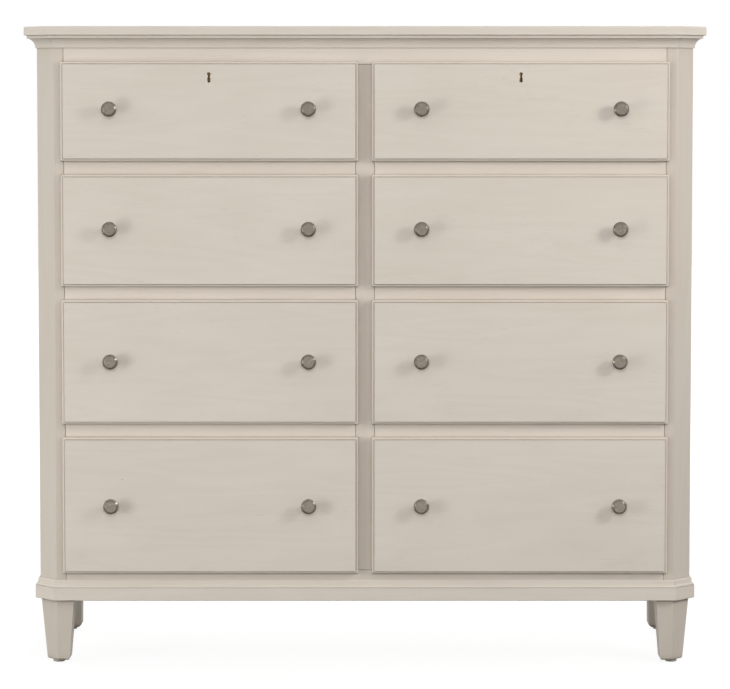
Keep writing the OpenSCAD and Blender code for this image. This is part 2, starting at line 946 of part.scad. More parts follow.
module front_feet() {
    inner = front_foot_w - front_foot_out;
    // The foot's canted face runs parallel to the post's, set back like the others
    cant = post_cant - (1 - tan(22.5)) * foot_inset;
    diagonal = (2 * front_foot_out - cant) / sqrt(2);
    color(painted)
        on_both_hands()
            translate([front_foot_x, front_foot_y, glide_h + glue])
                foot_fittings(front_glide_out)
                    intersection() {
                        tapered_faces(-front_foot_out, inner, foot_taper, front_foot_bevel);
                        rotate([0, 0, 90])
                            tapered_faces(-front_foot_out, inner, foot_taper, front_foot_bevel);
                        rotate([0, 0, 45])
                            tapered_faces(-diagonal, front_foot_w, foot_taper, front_foot_bevel - cant_bevel_less);
                    }
}

module rear_feet() {
    half = rear_foot_w / 2;
    color(painted)
        on_both_hands()
            translate([rear_foot_x, rear_foot_y, glide_h + glue])
                foot_fittings()
                    intersection() {
                        tapered_faces(-half, half, rear_foot_taper, rear_foot_bevel);
                        rotate([0, 0, 90])
                            tapered_faces(-half, half, rear_foot_taper, rear_foot_bevel);
                    }
}

// A glide in section: a domed-edge disc with a nail
module glide_section() {
    r = glide_d / 2;
    edge = glide_h / 3;
    difference() {
        union() {
            square([r, glide_h]);
            translate([0, glide_h - 1])
                square([glide_pin_d / 2, glide_pin_l + 1]);
        }
        mirror([0, 1])
            ease_corner(r, 0, edge);
    }
}

module foot_glides() {
    color(nylon)
        on_both_hands()
            for (at = [[front_glide_x, front_glide_y], [rear_foot_x, rear_foot_y]])
                translate([at.x, at.y, 0])
                    rotate_extrude()
                        glide_section();
}

// One strip of the bead, along X from the origin, with its outer edge at Z zero and both ends mitred
module bead_strip(length) {
    cut = glue / 2;
    intersection() {
        bar(length)
            difference() {
                translate([bead_back, 0])
                    square([front_t - bead_back, bead_w]);
                translate([bead_back, 0])
                    mirror([1, 0])
                        mirror([0, 1])
                            ease_corner(0, 0, bead_r);
            }
        translate([0, front_t + 1, 0])
            rotate([90, 0, 0])
                linear_extrude(front_t + 2)
                    polygon([[cut, 0], [length - cut, 0], [length - cut - bead_w, bead_w], [cut + bead_w, bead_w]]);
    }
}

// The keyhole in outline, with the middle of its eye at the origin
module keyhole() {
    slot_r = keyhole_slot_w / 2;
    circle(d = keyhole_eye_d);
    translate([-keyhole_waist_w / 2, -keyhole_l + slot_r])
        square([keyhole_waist_w, keyhole_l - slot_r]);
    translate([-slot_r, -keyhole_l + slot_r])
        square([keyhole_slot_w, keyhole_l - slot_r - keyhole_neck_l]);
    translate([0, -keyhole_l + slot_r])
        circle(slot_r);
}

// Cuts the keyhole from y0 back to y1
module keyhole_cut(y0, y1) {
    translate([column_x, y1, eye_z])
        rotate([90, 0, 0])
            linear_extrude(y1 - y0)
                keyhole();
}

function knob_xs() = [open_x0 - overlay + knob_inset, open_x1 + overlay - knob_inset];
function knob_z(row) = front_z(row) + front_h(row) / 2 + knob_rise - (row - 1) * knob_settle;

// Clearance holes for the knob screws, through the front and the board behind it
module screw_holes(row) {
    for (x = knob_xs())
        translate([x, box_y0 + box_front_t + 1, knob_z(row)])
            rotate([90, 0, 0])
                cylinder(h = front_t + box_front_t + 3, d = screw_d + 0.8);
}

// A raised field with a quirk along its edges, framed by four mitred strips of bead that lie further back
module drawer_front(row, hand) {
    x0 = open_x0 - overlay;
    x1 = open_x1 + overlay;
    y1 = front_y - closing_gap;
    y0 = y1 - front_t;
    z0 = front_z(row);
    z1 = z0 + front_h(row);
    edge = bead_w + glue;
    inset = edge + quirk_w;
    color(painted)
        on_hand(hand) {
            difference() {
                union() {
                    board([x0 + edge, y0 + bead_back + quirk_d, z0 + edge], [x1 - edge, y1, z1 - edge]);
                    board([x0 + inset, y0, z0 + inset], [x1 - inset, y1, z1 - inset]);
                }
                screw_holes(row);
                if (row == 1)
                    keyhole_cut(y0 - 1, y1 + 1);
            }
            translate([x0, y0, z0])
                bead_strip(x1 - x0);
            translate([x0, y0, z1])
                mirror([0, 0, 1])
                    bead_strip(x1 - x0);
            translate([x1, y0, z0])
                rotate([0, -90, 0])
                    bead_strip(z1 - z0);
            translate([x0, y0, z0])
                mirror([1, 0, 0])
                    rotate([0, -90, 0])
                        bead_strip(z1 - z0);
        }
}

function tail_count(height) = max(2, floor((height - dovetail_w / 2) / dovetail_pitch));

// The tails between heights z0 and z1, seen from the side, from their shoulder to their ends
module tails(z0, z1, shoulder, end, grow = 0) {
    count = tail_count(z1 - z0);
    pitch = (z1 - z0) / count;
    narrow = dovetail_w / 2 + grow;
    broad = narrow + dovetail_slope * abs(end - shoulder);
    for (n = [0:count - 1]) {
        z = z0 + (n + 0.5) * pitch;
        polygon([[shoulder, z - narrow], [end, z - broad], [end, z + broad], [shoulder, z + narrow]]);
    }
}

function box_z0(row) = open_z(row) + runner_gap;
function box_z1(row) = open_top(row) - side_top_gap;
function groove_z(row) = box_z0(row) + bottom_lift;
function box_back_z0(row) = groove_z(row) + bottom_t + 2 * play;
function box_back_z1(row) = box_z1(row) - box_back_drop;

// All the tails of one drawer side. grow widens them into the sockets that take them
module box_tails(row, grow = 0) {
    tails(box_z0(row), box_z1(row), box_y0 + box_front_t + glue, box_y0, grow);
    tails(box_back_z0(row), box_back_z1(row), box_y1 - box_side_t - glue, box_y1, grow);
}

// The groove that holds the bottom, seen from the side
module bottom_slot(row, x0, x1, y0, y1) {
    board([x0, y0, groove_z(row)], [x1, y1, groove_z(row) + bottom_t + 2 * play]);
}

// A drawer side from the outer face of the box inwards, starting at x
module box_side(row, x, groove_x) {
    difference() {
        translate([x, 0, 0])
            bar(box_side_t) {
                translate([box_y0 + box_front_t + glue, box_z0(row)])
                    square([
                        box_l - box_front_t - box_side_t - 2 * glue,
                        box_z1(row) - box_z0(row)
                    ]);
                box_tails(row);
            }
        bottom_slot(
            row,
            groove_x,
            groove_x + bottom_groove,
            box_y0 + box_front_t - bottom_groove,
            box_y1 + 1
        );
    }
}

// The sockets for both sides' tails, as cuts through the front or back board
module tail_sockets(row) {
    for (x = [box_x0 - 1, box_x1 - box_side_t - glue])
        translate([x, 0, 0])
            bar(box_side_t + glue + 1)
                box_tails(row, glue);
}

module drawer_box(row, hand) {
    color(inner_wood)
        on_hand(hand) {
            box_side(row, box_x0, box_x0 + box_side_t - bottom_groove);
            box_side(row, box_x1 - box_side_t, box_x1 - box_side_t);
            // The board behind the drawer front
            difference() {
                board(
                    [box_x0, box_y0, box_z0(row)],
                    [box_x1, box_y0 + box_front_t, open_top(row) - box_front_top_gap]
                );
                tail_sockets(row);
                bottom_slot(
                    row,
                    box_x0 + box_side_t - bottom_groove,
                    box_x1 - box_side_t + bottom_groove,
                    box_y0 + box_front_t - bottom_groove,
                    box_y0 + box_front_t + 1
                );
                screw_holes(row);
                if (row == 1)
                    lock_mortise();
            }
            // The back
            difference() {
                board([box_x0, box_y1 - box_side_t, box_back_z0(row)], [box_x1, box_y1, box_back_z1(row)]);
                tail_sockets(row);
            }
        }
}

module drawer_bottom(row, hand) {
    inset = box_side_t - bottom_groove + play;
    color(sheet_wood)
        on_hand(hand)
            board(
                [box_x0 + inset, box_y0 + box_front_t - bottom_groove + play, groove_z(row) + play],
                [box_x1 - inset, box_y1, groove_z(row) + play + bottom_t]
            );
}

// The ledge at the foot of the step round a knob's face, and how far the step's side slants
knob_ledge = 0.9;
knob_slant = 0.5;

// A knob in section: foot, neck, a head with a bevelled rim and a flat face, and the bore for its screw
module knob_section() {
    bore = screw_d / 2 + play;
    r = knob_d / 2;
    face_r = knob_face_d / 2;
    neck_r = knob_neck_d / 2;
    head_y = knob_l - knob_head;
    // Radius of the sweep from the neck to the underside of the head
    sweep = (head_y - knob_foot - 1) / 2;
    difference() {
        union() {
            square([knob_foot_d / 2, knob_foot]);
            square([neck_r, knob_l - 1]);
            difference() {
                translate([0, head_y - sweep])
                    square([neck_r + sweep, sweep]);
                translate([neck_r + sweep, head_y - sweep])
                    circle(sweep);
            }
            // The head, from the bevel behind its rim to the step round the face
            polygon([
                [0, head_y],
                [r - knob_bevel, head_y],
                [r, head_y + knob_bevel],
                [r, head_y + 2 * knob_bevel],
                [face_r + knob_ledge, knob_l - knob_step],
                [face_r + knob_slant, knob_l - knob_step],
                [face_r, knob_l],
                [0, knob_l]
            ]);
        }
        translate([-1, -1])
            square([1 + bore, knob_bore_l + 1]);
    }
}

// A knob's screw: its shank and a pan head against the inside of the box
module screw_section() {
    grip = front_t + box_front_t + 2 * glue;
    translate([0, -grip - 1])
        square([screw_d / 2, grip + 1 + screw_reach]);
    difference() {
        translate([0, -grip - glue - screw_head_t])
            square([screw_head_d / 2, screw_head_t]);
        mirror([0, 1])
            ease_corner(screw_head_d / 2, grip + glue + screw_head_t, 1);
    }
}

module drawer_knobs(row, hand) {
    color(nickel)
        on_hand(hand)
            for (x = knob_xs())
                translate([x, front_y - closing_gap - front_t - glue, knob_z(row)])
                    rotate([90, 0, 0]) {
                        rotate_extrude()
                            knob_section();
                        rotate_extrude()
                            screw_section();
                    }
}

// The room that a lock takes in the board behind a top drawer's front
module lock_mortise() {
    back = box_y0 + box_front_t;
    board(
        [column_x - lock_w / 2 - play, lock_y0 - play, lock_top - lock_h - play],
        [column_x + lock_w / 2 + play, back + 1, lock_top + 1]
    );
    board(
        [column_x - lock_w / 2 - lock_plate_lap - play, lock_y0 - play, lock_top - lock_plate_t - play],
        [column_x + lock_w / 2 + lock_plate_lap + play, back + 1, lock_top + 1]
    );
    keyhole_cut(box_y0 - 1, back);
}

// The bolt's own outline, moved up by its throw where rise is given and widened by grow for its channel
module bolt_shape(grow, rise) {
    board(
        [column_x - bolt_w / 2 - grow, bolt_y - grow, lock_top - bolt_l - grow],
        [column_x + bolt_w / 2 + grow, bolt_y + bolt_t + grow, lock_top + rise]
    );
}

// A lock: its case in the mortise, a plate on the inside, a plate along the top edge and the drill pin
module lock(hand) {
    back = box_y0 + box_front_t;
    half = lock_w / 2;
    color(brass)
        on_hand(hand) {
            difference() {
                union() {
                    board([column_x - half, lock_y0, lock_top - lock_h], [column_x + half, back, lock_top]);
                    board(
                        [column_x - half - lock_plate_lap, back + glue, lock_top - lock_h - lock_plate_lap],
                        [column_x + half + lock_plate_lap, back + glue + lock_plate_t, lock_top]
                    );
                    board([column_x - half, back - 1, lock_top - lock_h], [column_x + half, back + 1, lock_top]);
                    board(
                        [column_x - half - lock_plate_lap, lock_y0, lock_top - lock_plate_t],
                        [column_x + half + lock_plate_lap, back + 1, lock_top]
                    );
                }
                bolt_shape(bolt_play, 1);
                keyhole_cut(lock_y0 - 1, lock_y0 + key_depth);
            }
            translate([column_x, lock_y0 + key_depth + glue, eye_z])
                rotate([90, 0, 0])
                    cylinder(
                        h = lock_y0 + key_depth + glue - (front_y - closing_gap - front_t + drill_pin_back),
                        d = drill_pin_d
                    );
        }
}

module lock_bolt(hand) {
    color(brass)
        on_hand(hand)
            bolt_shape(0, 0);
}

top_panel();
cornice_moulding();
front_post("left");  // front_post_left
front_post("right");  // front_post_right
rear_posts();
side_panel("left");  // side_panel_left
side_panel("right");  // side_panel_right
top_rail();
bottom_rail();
centre_muntin();
drawer_rails();
centre_partition();
drawer_runners();
top_kickers();
web_back_rails();
dust_panels();
drawer_guides();
base_moulding();
front_feet();
rear_feet();
foot_glides();
back_panel();
rear_rails();
corner_blocks();
for (row = [1:rows])
    for (hand = hands) {
        drawer_front(row, hand);
        drawer_box(row, hand);
        drawer_bottom(row, hand);
        drawer_knobs(row, hand);
    }
lock("left");  // lock_left
lock("right");  // lock_right
lock_bolt("left");  // lock_bolt_left
lock_bolt("right");  // lock_bolt_right
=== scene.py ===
import math
import random

import bmesh
import bpy
from mathutils import Matrix, Vector


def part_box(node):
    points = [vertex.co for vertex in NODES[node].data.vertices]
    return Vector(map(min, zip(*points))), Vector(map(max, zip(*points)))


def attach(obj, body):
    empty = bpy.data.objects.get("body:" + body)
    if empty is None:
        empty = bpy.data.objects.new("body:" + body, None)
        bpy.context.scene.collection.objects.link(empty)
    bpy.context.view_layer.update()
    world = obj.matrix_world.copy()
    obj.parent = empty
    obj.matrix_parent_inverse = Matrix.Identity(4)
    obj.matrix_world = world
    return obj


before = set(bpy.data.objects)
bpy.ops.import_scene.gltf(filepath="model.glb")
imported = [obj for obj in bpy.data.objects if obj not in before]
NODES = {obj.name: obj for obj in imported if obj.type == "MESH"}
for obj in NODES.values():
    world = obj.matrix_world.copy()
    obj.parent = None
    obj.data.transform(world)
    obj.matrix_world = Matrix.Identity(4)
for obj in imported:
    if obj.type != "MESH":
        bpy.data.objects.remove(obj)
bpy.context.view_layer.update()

bl_info = {
    "name": "Painted chest of drawers",
    "version": (1, 0, 0),
    "blender": (4, 5, 0),
    "location": "View3D > Sidebar > Chest",
    "description": "Finishes a chest of eight drawers in brushed paint, bare wood and aged nickel, and lights it",
    "category": "Object",
}

MM = 0.001
ROWS = (1, 2, 3, 4)
HANDS = ("left", "right")
FLOAT = "NodeSocketFloat"
VECTOR = "NodeSocketVector"
SEED = 11

BEVEL_SAMPLES = 4
DIRT_SAMPLES = 6
FLOOR_HALF = 14
SHADE_NEAR, SHADE_FAR = 0.9, 3.0
SENSOR_WIDTH = 36
SIGHT = 60
WHITE = (1.0, 1.0, 1.0, 1.0)

# Each lamp: its name, the property with its power, its place, its size, its colour, and whether metal mirrors it
LAMP_AIM = (0, -0.2, 0.75)
LAMPS = (
    ("right_lamp", "right_power", (2.35, -1.66, 1.75), 0.6, (1.0, 0.99, 0.97), True),
    ("left_lamp", "left_power", (-2.4, -1.8, 0.5), 0.9, (0.98, 1.0, 0.97), True),
    ("front_lamp", "front_power", (0.0, -6.0, 2.2), 1.5, (1.0, 1.0, 1.0), False),
    ("top_lamp", "top_power", (0.0, -4.5, 5.5), 3.0, (1.0, 1.0, 1.0), False),
    ("back_lamp", "back_power", (0.6, 4.6, 2.2), 2.2, (1.0, 1.0, 1.0), True),
)

ALONG_X, ALONG_Y, ALONG_Z, ALONG_RUN = "X", "Y", "Z", "ROUND"

# How much each effect shows in the colour
PAINT_SHARES = {"tone": 0.45, "lines": 0.3, "figure": 0.25, "pores": 0.16, "crease_glaze_and_shade": 0.42, "joints": 0.6,
                "wear_and_highlight": 0.35, "specks": 0.7}
WOOD_SHARES = {"tone": 0.22, "lines": 0.3, "figure": 0.42, "pores": 0.5, "dust": 0.3, "wear_and_highlight": 0.25}
METAL_SHARES = {"clouds": 0.45, "dirt_and_shade": 0.6, "scratches": 0.15, "wear_and_highlight": 0.5}
SCRATCH_LIGHTER, WEAR_AND_HIGHLIGHT_LIGHTER = 1.5, 1.6

# How far a screw head's dome rises over the rim's middle, in heights of the head
DOME = 0.55

# The case's nodes, by the way their grain runs and their finish
POST_NODES = ("front_post_left", "front_post_right")
UPRIGHT_NODES = ("rear_posts", "centre_muntin")
LEVEL_NODES = ("top_rail", "drawer_rails")
SIDE_NODES = ("side_panel_left", "side_panel_right")
BARE_NODES_ALONG = ("rear_rails", "web_back_rails")
BARE_NODES_DEEP = ("drawer_runners", "top_kickers", "drawer_guides")
BARE_NODES_UPRIGHT = ("corner_blocks",)
SHEET_NODES = ("dust_panels", "centre_partition", "back_panel")


def srgb(red, green, blue):
    """A colour given as 0 to 255 on a screen, as the linear values that Blender keeps."""
    def linear(part):
        part /= 255
        return part / 12.92 if part <= 0.04045 else ((part + 0.055) / 1.055) ** 2.4
    return (linear(red), linear(green), linear(blue))


def solid(colour):
    """A colour with full opacity."""
    return (*colour[:3], 1.0)


def drawer_nodes(kind):
    """The nodes of one kind, from every drawer."""
    return [f"drawer_{row}_{hand}_{kind}" for row in ROWS for hand in HANDS]


# ---- Wiring of materials and groups


class Wiring:
    """Adds nodes to one node tree and joins them."""

    def __init__(self, tree):
        self.tree = tree

    def add(self, kind, given=None, **settings):
        node = self.tree.nodes.new(kind)
        for name, value in settings.items():
            setattr(node, name, value)
        for name, value in (given or {}).items():
            self.feed(node.inputs[name], value)
        return node

    def feed(self, socket, value):
        if isinstance(value, bpy.types.NodeSocket):
            self.tree.links.new(value, socket)
        else:
            socket.default_value = value

    def math(self, operation, first, second=0.0, clamp=False):
        node = self.add("ShaderNodeMath", {0: first, 1: second}, operation=operation, use_clamp=clamp)
        return node.outputs[0]

    def total(self, *terms, clamp=False):
        """The sum of values, each times its share."""
        value, share = terms[0]
        whole = self.math("MULTIPLY", value, share)
        for value, share in terms[1:]:
            whole = self.math("ADD", whole, self.math("MULTIPLY", value, share), clamp=clamp)
        return whole

    def vector(self, operation, first, second=(0.0, 0.0, 0.0)):
        node = self.add("ShaderNodeVectorMath", {0: first, 1: second}, operation=operation)
        return node.outputs["Value"] if operation in ("LENGTH", "DOT_PRODUCT", "DISTANCE") else node.outputs[0]

    def ramp(self, value, low, high, out_low=0.0, out_high=1.0):
        given = {"Value": value, "From Min": low, "From Max": high, "To Min": out_low, "To Max": out_high}
        return self.add("ShaderNodeMapRange", given, clamp=True).outputs["Result"]

    def noise(self, vector, scale=1.0, detail=2.0, roughness=0.5):
        given = {"Vector": vector, "Scale": scale, "Detail": detail, "Roughness": roughness}
        return self.add("ShaderNodeTexNoise", given).outputs["Fac"]

    def mix(self, factor, first, second):
        node = self.add("ShaderNodeMix", data_type="RGBA")
        for name, value in (("Factor_Float", factor), ("A_Color", first), ("B_Color", second)):
            self.feed(next(s for s in node.inputs if s.identifier == name), value)
        return next(s for s in node.outputs if s.identifier == "Result_Color")

    def mix_vector(self, factor, first, second):
        node = self.add("ShaderNodeMix", data_type="VECTOR")
        for name, value in (("Factor_Float", factor), ("A_Vector", first), ("B_Vector", second)):
            self.feed(next(s for s in node.inputs if s.identifier == name), value)
        return next(s for s in node.outputs if s.identifier == "Result_Vector")

    def parts(self, vector):
        return self.add("ShaderNodeSeparateXYZ", {"Vector": vector}).outputs

    def whole(self, x, y, z):
        return self.add("ShaderNodeCombineXYZ", {"X": x, "Y": y, "Z": z}).outputs["Vector"]

    def even(self, size):
        return self.whole(size, size, size)

    def group(self, tree, **given):
        node = self.add("ShaderNodeGroup", node_tree=tree)
        for name, value in given.items():
            self.feed(node.inputs[name.replace("_", " ")], value)
        return node.outputs


def new_group(name, inputs, outputs):
    """An empty shader group with named sockets, as its wiring, its inputs and its outputs."""
    tree = bpy.data.node_groups.new(name, "ShaderNodeTree")
    for label, kind, default in inputs:
        socket = tree.interface.new_socket(label, in_out="INPUT", socket_type=kind)
        if default is not None:
            socket.default_value = default
    for label in outputs:
        tree.interface.new_socket(label, in_out="OUTPUT", socket_type=FLOAT)
    wiring = Wiring(tree)
    return wiring, wiring.add("NodeGroupInput").outputs, wiring.add("NodeGroupOutput").inputs


def shared_group(name, build):
    """The group of that name, built the first time it is asked for."""
    return bpy.data.node_groups.get(name) or build(name)


def build_grain(name):
    """Fine lines, short pores and broad figure that run along X."""
    w, given, out = new_group(name, [
        ("Vector", VECTOR, None),
        ("Line Length", FLOAT, 0.11),
        ("Line Width", FLOAT, 0.0012),
        ("Figure Size", FLOAT, 0.06),
    ], ["Lines", "Pores", "Figure"])
    size = w.whole(given["Line Length"], given["Line Width"], given["Line Width"])
    along = w.vector("DIVIDE", given["Vector"], size)
    w.feed(out["Lines"], w.ramp(w.noise(along, 1.0, 3.0, 0.6), 0.3, 0.7))
    short = w.vector("MULTIPLY", along, (4.0, 0.9, 0.9))
    pores = w.ramp(w.noise(short, 1.0, 1.0, 0.4), 0.66, 0.74)
    where = w.ramp(w.noise(w.vector("MULTIPLY", along, (0.35, 0.02, 0.02)), 1.0, 2.0), 0.4, 0.65)
    w.feed(out["Pores"], w.math("MULTIPLY", pores, where))
    broad = w.whole(w.math("MULTIPLY", given["Figure Size"], 9.0), given["Figure Size"], given["Figure Size"])
    field = w.noise(w.vector("DIVIDE", given["Vector"], broad), 1.0, 2.0, 0.45)
    rings = w.math("SINE", w.math("MULTIPLY", field, 52.0))
    w.feed(out["Figure"], w.ramp(rings, -1.0, 1.0))
    return w.tree


def build_end_strips(name):
    """1 within a strip at either end of a board that lies across X, at the same distance on both hands."""
    w, given, out = new_group(name, [
        ("Vector", VECTOR, None),
        ("Middle", FLOAT, 0.323),
        ("Half Width", FLOAT, 0.3),
        ("Strip", FLOAT, 0.0127),
    ], ["Mask"])
    across = w.math("ABSOLUTE", w.parts(given["Vector"])["X"])
    from_middle = w.math("ABSOLUTE", w.math("SUBTRACT", across, given["Middle"]))
    edge = w.math("SUBTRACT", given["Half Width"], given["Strip"])
    w.feed(out["Mask"], w.math("GREATER_THAN", from_middle, edge))
    return w.tree


def build_edge_wear_and_highlight(name):
    """Where corners are rubbed and where painted highlights lie along them: the rounded normal against
    the true one, broken up by noise.
    """
    w, given, out = new_group(name, [
        ("Vector", VECTOR, None),
        ("Radius", FLOAT, 0.0015),
        ("Spread", FLOAT, 0.03),
    ], ["Wear"])
    rounded = w.add("ShaderNodeBevel", {"Radius": given["Radius"]}, samples=BEVEL_SAMPLES).outputs["Normal"]
    flat = w.add("ShaderNodeNewGeometry").outputs["True Normal"]
    turned = w.math("SUBTRACT", 1.0, w.vector("DOT_PRODUCT", rounded, flat))
    spots = w.noise(w.vector("DIVIDE", given["Vector"], w.even(given["Spread"])), 1.0, 4.0, 0.65)
    w.feed(out["Wear"], w.math("MULTIPLY", w.ramp(turned, 0.02, 0.18), w.ramp(spots, 0.35, 0.7)))
    return w.tree


def gathered_dirt_and_shade(name, own_piece):
    """Painted shade and dirt: 1 deep in corners, where shade falls, broken up by noise, of one piece alone
    or of all that stand together.
    """
    w, given, out = new_group(name, [
        ("Vector", VECTOR, None),
        ("Reach", FLOAT, 0.004),
    ], ["Dirt"])
    open_sky = w.add("ShaderNodeAmbientOcclusion", {"Distance": given["Reach"]}, samples=DIRT_SAMPLES,
                     only_local=own_piece)
    spots = w.noise(w.vector("MULTIPLY", given["Vector"], (45.0, 45.0, 45.0)), 1.0, 3.0, 0.6)
    closed = w.ramp(open_sky.outputs["AO"], 0.35, 0.85, 1.0, 0.0)
    w.feed(out["Dirt"], w.math("MULTIPLY", closed, w.ramp(spots, 0.2, 0.7, 0.6, 1.0)))
    return w.tree


def build_crease_dirt_and_shade(name):
    """Where glaze and dust gather and shade falls: inner corners and quirks of one piece, darkened as painted shade.
    """
    return gathered_dirt_and_shade(name, True)


def build_joint_glaze_and_shade(name):
    """Glaze along the lines where one piece meets the next, and painted shade that spreads from them over the faces.
    """
    return gathered_dirt_and_shade(name, False)


def build_specks(name):
    """Small round marks, one to a cell, in a share of the cells."""
    w, given, out = new_group(name, [
        ("Vector", VECTOR, None),
        ("Spacing", FLOAT, 0.05),
        ("Size", FLOAT, 0.0009),
        ("Share", FLOAT, 0.3),
    ], ["Specks"])
    place = w.vector("DIVIDE", given["Vector"], w.even(given["Spacing"]))
    cells = w.add("ShaderNodeTexVoronoi", {"Vector": place, "Scale": 1.0})
    size = w.math("DIVIDE", given["Size"], given["Spacing"])
    near = w.math("LESS_THAN", cells.outputs["Distance"], size)
    chosen = w.math("LESS_THAN", w.parts(cells.outputs["Color"])["X"], given["Share"])
    w.feed(out["Specks"], w.math("MULTIPLY", near, chosen))
    return w.tree


def build_patches(name):
    """Slow changes of tone over a surface, and the faint ribs that a brush leaves along X."""
    w, given, out = new_group(name, [
        ("Vector", VECTOR, None),
        ("Patch Size", FLOAT, 0.12),
        ("Rib Width", FLOAT, 0.0016),
    ], ["Tone", "Ribs"])
    size = w.whole(w.math("MULTIPLY", given["Patch Size"], 2.5), given["Patch Size"], given["Patch Size"])
    w.feed(out["Tone"], w.ramp(w.noise(w.vector("DIVIDE", given["Vector"], size), 1.0, 3.0, 0.5), 0.25, 0.75))
    rib = w.whole(w.math("MULTIPLY", given["Rib Width"], 90.0), given["Rib Width"], given["Rib Width"])
    w.feed(out["Ribs"], w.noise(w.vector("DIVIDE", given["Vector"], rib), 1.0, 1.0, 0.4))
    return w.tree


def build_scratches(name):
    """Fine crossing scratches and cloudy tarnish on metal."""
    w, given, out = new_group(name, [
        ("Vector", VECTOR, None),
        ("Cloud Size", FLOAT, 0.006),
    ], ["Clouds", "Scratches"])
    place = w.vector("DIVIDE", given["Vector"], w.even(given["Cloud Size"]))
    w.feed(out["Clouds"], w.ramp(w.noise(place, 1.0, 4.0, 0.6), 0.3, 0.7))
    x, y, z = w.parts(given["Vector"])[:]
    fine = w.whole(w.math("MULTIPLY", w.math("ADD", x, z), 4000.0), w.math("MULTIPLY", y, 900.0),
                   w.math("MULTIPLY", w.math("SUBTRACT", x, z), 220.0))
    w.feed(out["Scratches"], w.ramp(w.noise(fine, 1.0, 2.0, 0.6), 0.55, 0.72))
    return w.tree


# ---- Materials


def run_vector(w, run):
    """The object's own coordinates, and the same turned so that the wood's length is X."""
    place = w.add("ShaderNodeTexCoord").outputs["Object"]
    x, y, z = w.parts(place)[:]
    if run == ALONG_X:
        return place, place
    if run == ALONG_Y:
        return place, w.whole(y, x, z)
    if run == ALONG_Z:
        return place, w.whole(z, x, y)
    return place, w.whole(w.math("ADD", x, y), z, w.math("MULTIPLY", y, 0.1))


def turned_ends(w, place, along, strips, across):
    """The coordinates along a board, and across in a strip at either end. strips is (middle, half width, strip)."""
    middle, half_width, strip = strips
    mask = w.group(shared_group("End strips", build_end_strips), Vector=place, Middle=middle,
                   Half_Width=half_width, Strip=strip)["Mask"]
    return w.mix_vector(mask, along, across)


def new_material(name):
    """A new material, the wiring of its nodes, and its shader."""
    material = bpy.data.materials.new(name)
    material.use_nodes = True
    return material, Wiring(material.node_tree), material.node_tree.nodes["Principled BSDF"]


def add_bump(w, shader, height, strength, distance):
    """Feeds the shader's normal from a height, and gives back the bump node."""
    bump = w.add("ShaderNodeBump", {"Strength": strength, "Distance": distance, "Height": height})
    w.feed(shader.inputs["Normal"], bump.outputs["Normal"])
    return bump


def direct_view(w):
    """1 for rays that see a surface straight, in a mirror or through glass, and 0 for those that only light it."""
    rays = w.add("ShaderNodeLightPath").outputs
    reflected = w.math("MAXIMUM", rays["Is Glossy Ray"], rays["Is Transmission Ray"])
    return w.math("MAXIMUM", rays["Is Camera Ray"], reflected)


def painted(name, run, finish, strips=None, rounded=False, reach=3.5 * MM, corner_glaze_and_shade=1.0, painted_shade=0.0):
    """Brushed paint over fine-grained wood.

    strips is (middle, half width, strip) where the ends run upright. rounded softens the corners in the shading,
    on a piece whose faces have holes in them. reach is how far glaze and painted shade spread from where the
    piece meets others; the next number is how much of both stays in corners, and the last how much painted
    shade lies evenly over the whole piece."""
    material, w, shader = new_material(name)
    place, along = run_vector(w, run)
    if strips:
        x, y, z = w.parts(place)[:]
        along = turned_ends(w, place, along, strips, w.whole(z, x, y))
    grain = w.group(shared_group("Wood grain", build_grain), Vector=along, Line_Length=0.09, Line_Width=0.0016,
                    Figure_Size=0.075)
    patches = w.group(shared_group("Patches", build_patches), Vector=along)
    wear_and_highlight = w.group(shared_group("Edge wear", build_edge_wear_and_highlight), Vector=place, Radius=0.0014)["Wear"]
    dirt_and_shade = w.group(shared_group("Crease dirt", build_crease_dirt_and_shade), Vector=place, Reach=0.004)["Dirt"]
    joints = w.group(shared_group("Joint dirt", build_joint_glaze_and_shade), Vector=place, Reach=reach)["Dirt"]
    specks = w.group(shared_group("Specks", build_specks), Vector=place, Spacing=0.085, Size=0.0011, Share=0.28)
    share, strength = PAINT_SHARES, finish.grain_strength
    shade = w.total((patches["Tone"], share["tone"]), (grain["Lines"], share["lines"] * strength),
                    (grain["Figure"], share["figure"] * strength))
    colour = w.mix(shade, solid(finish.paint_light), solid(finish.paint_dark))
    in_pores = w.math("MULTIPLY", grain["Pores"], share["pores"] * strength)
    in_crease_glaze_and_shade = w.math("MULTIPLY", dirt_and_shade, share["crease_glaze_and_shade"] * corner_glaze_and_shade)
    in_joint_glaze_and_shade = w.math("MULTIPLY", joints, share["joints"] * corner_glaze_and_shade)
    # Glaze in the pores, painted shade evenly over the whole piece, then glaze with painted shade in creases and along
    # joints.
    for glaze_and_shade in (in_pores, painted_shade, in_crease_glaze_and_shade, in_joint_glaze_and_shade):
        colour = w.mix(glaze_and_shade, colour, solid(finish.glaze_and_shade))
    # Lighter corners: rubbed paint and painted highlights where the edges catch the light.
    colour = w.mix(w.math("MULTIPLY", wear_and_highlight, share["wear_and_highlight"]), colour, solid(finish.worn_and_lit))
    colour = w.mix(w.math("MULTIPLY", specks["Specks"], share["specks"]), colour, solid(finish.speck))
    w.feed(shader.inputs["Base Color"], colour)
    rough = w.total((grain["Lines"], 0.06), (dirt_and_shade, 0.2))
    w.feed(shader.inputs["Roughness"], w.math("ADD", rough, finish.paint_roughness, clamp=True))
    shader.inputs["Specular IOR Level"].default_value = 0.4
    height = w.total((patches["Ribs"], 0.6), (grain["Pores"], -0.8), (grain["Lines"], 0.35))
    bump = add_bump(w, shader, height, 0.22, 0.4 * MM)
    if rounded:
        corner = w.add("ShaderNodeBevel", {"Radius": finish.corner}, samples=BEVEL_SAMPLES)
        w.feed(bump.inputs["Normal"], corner.outputs["Normal"])
    return material


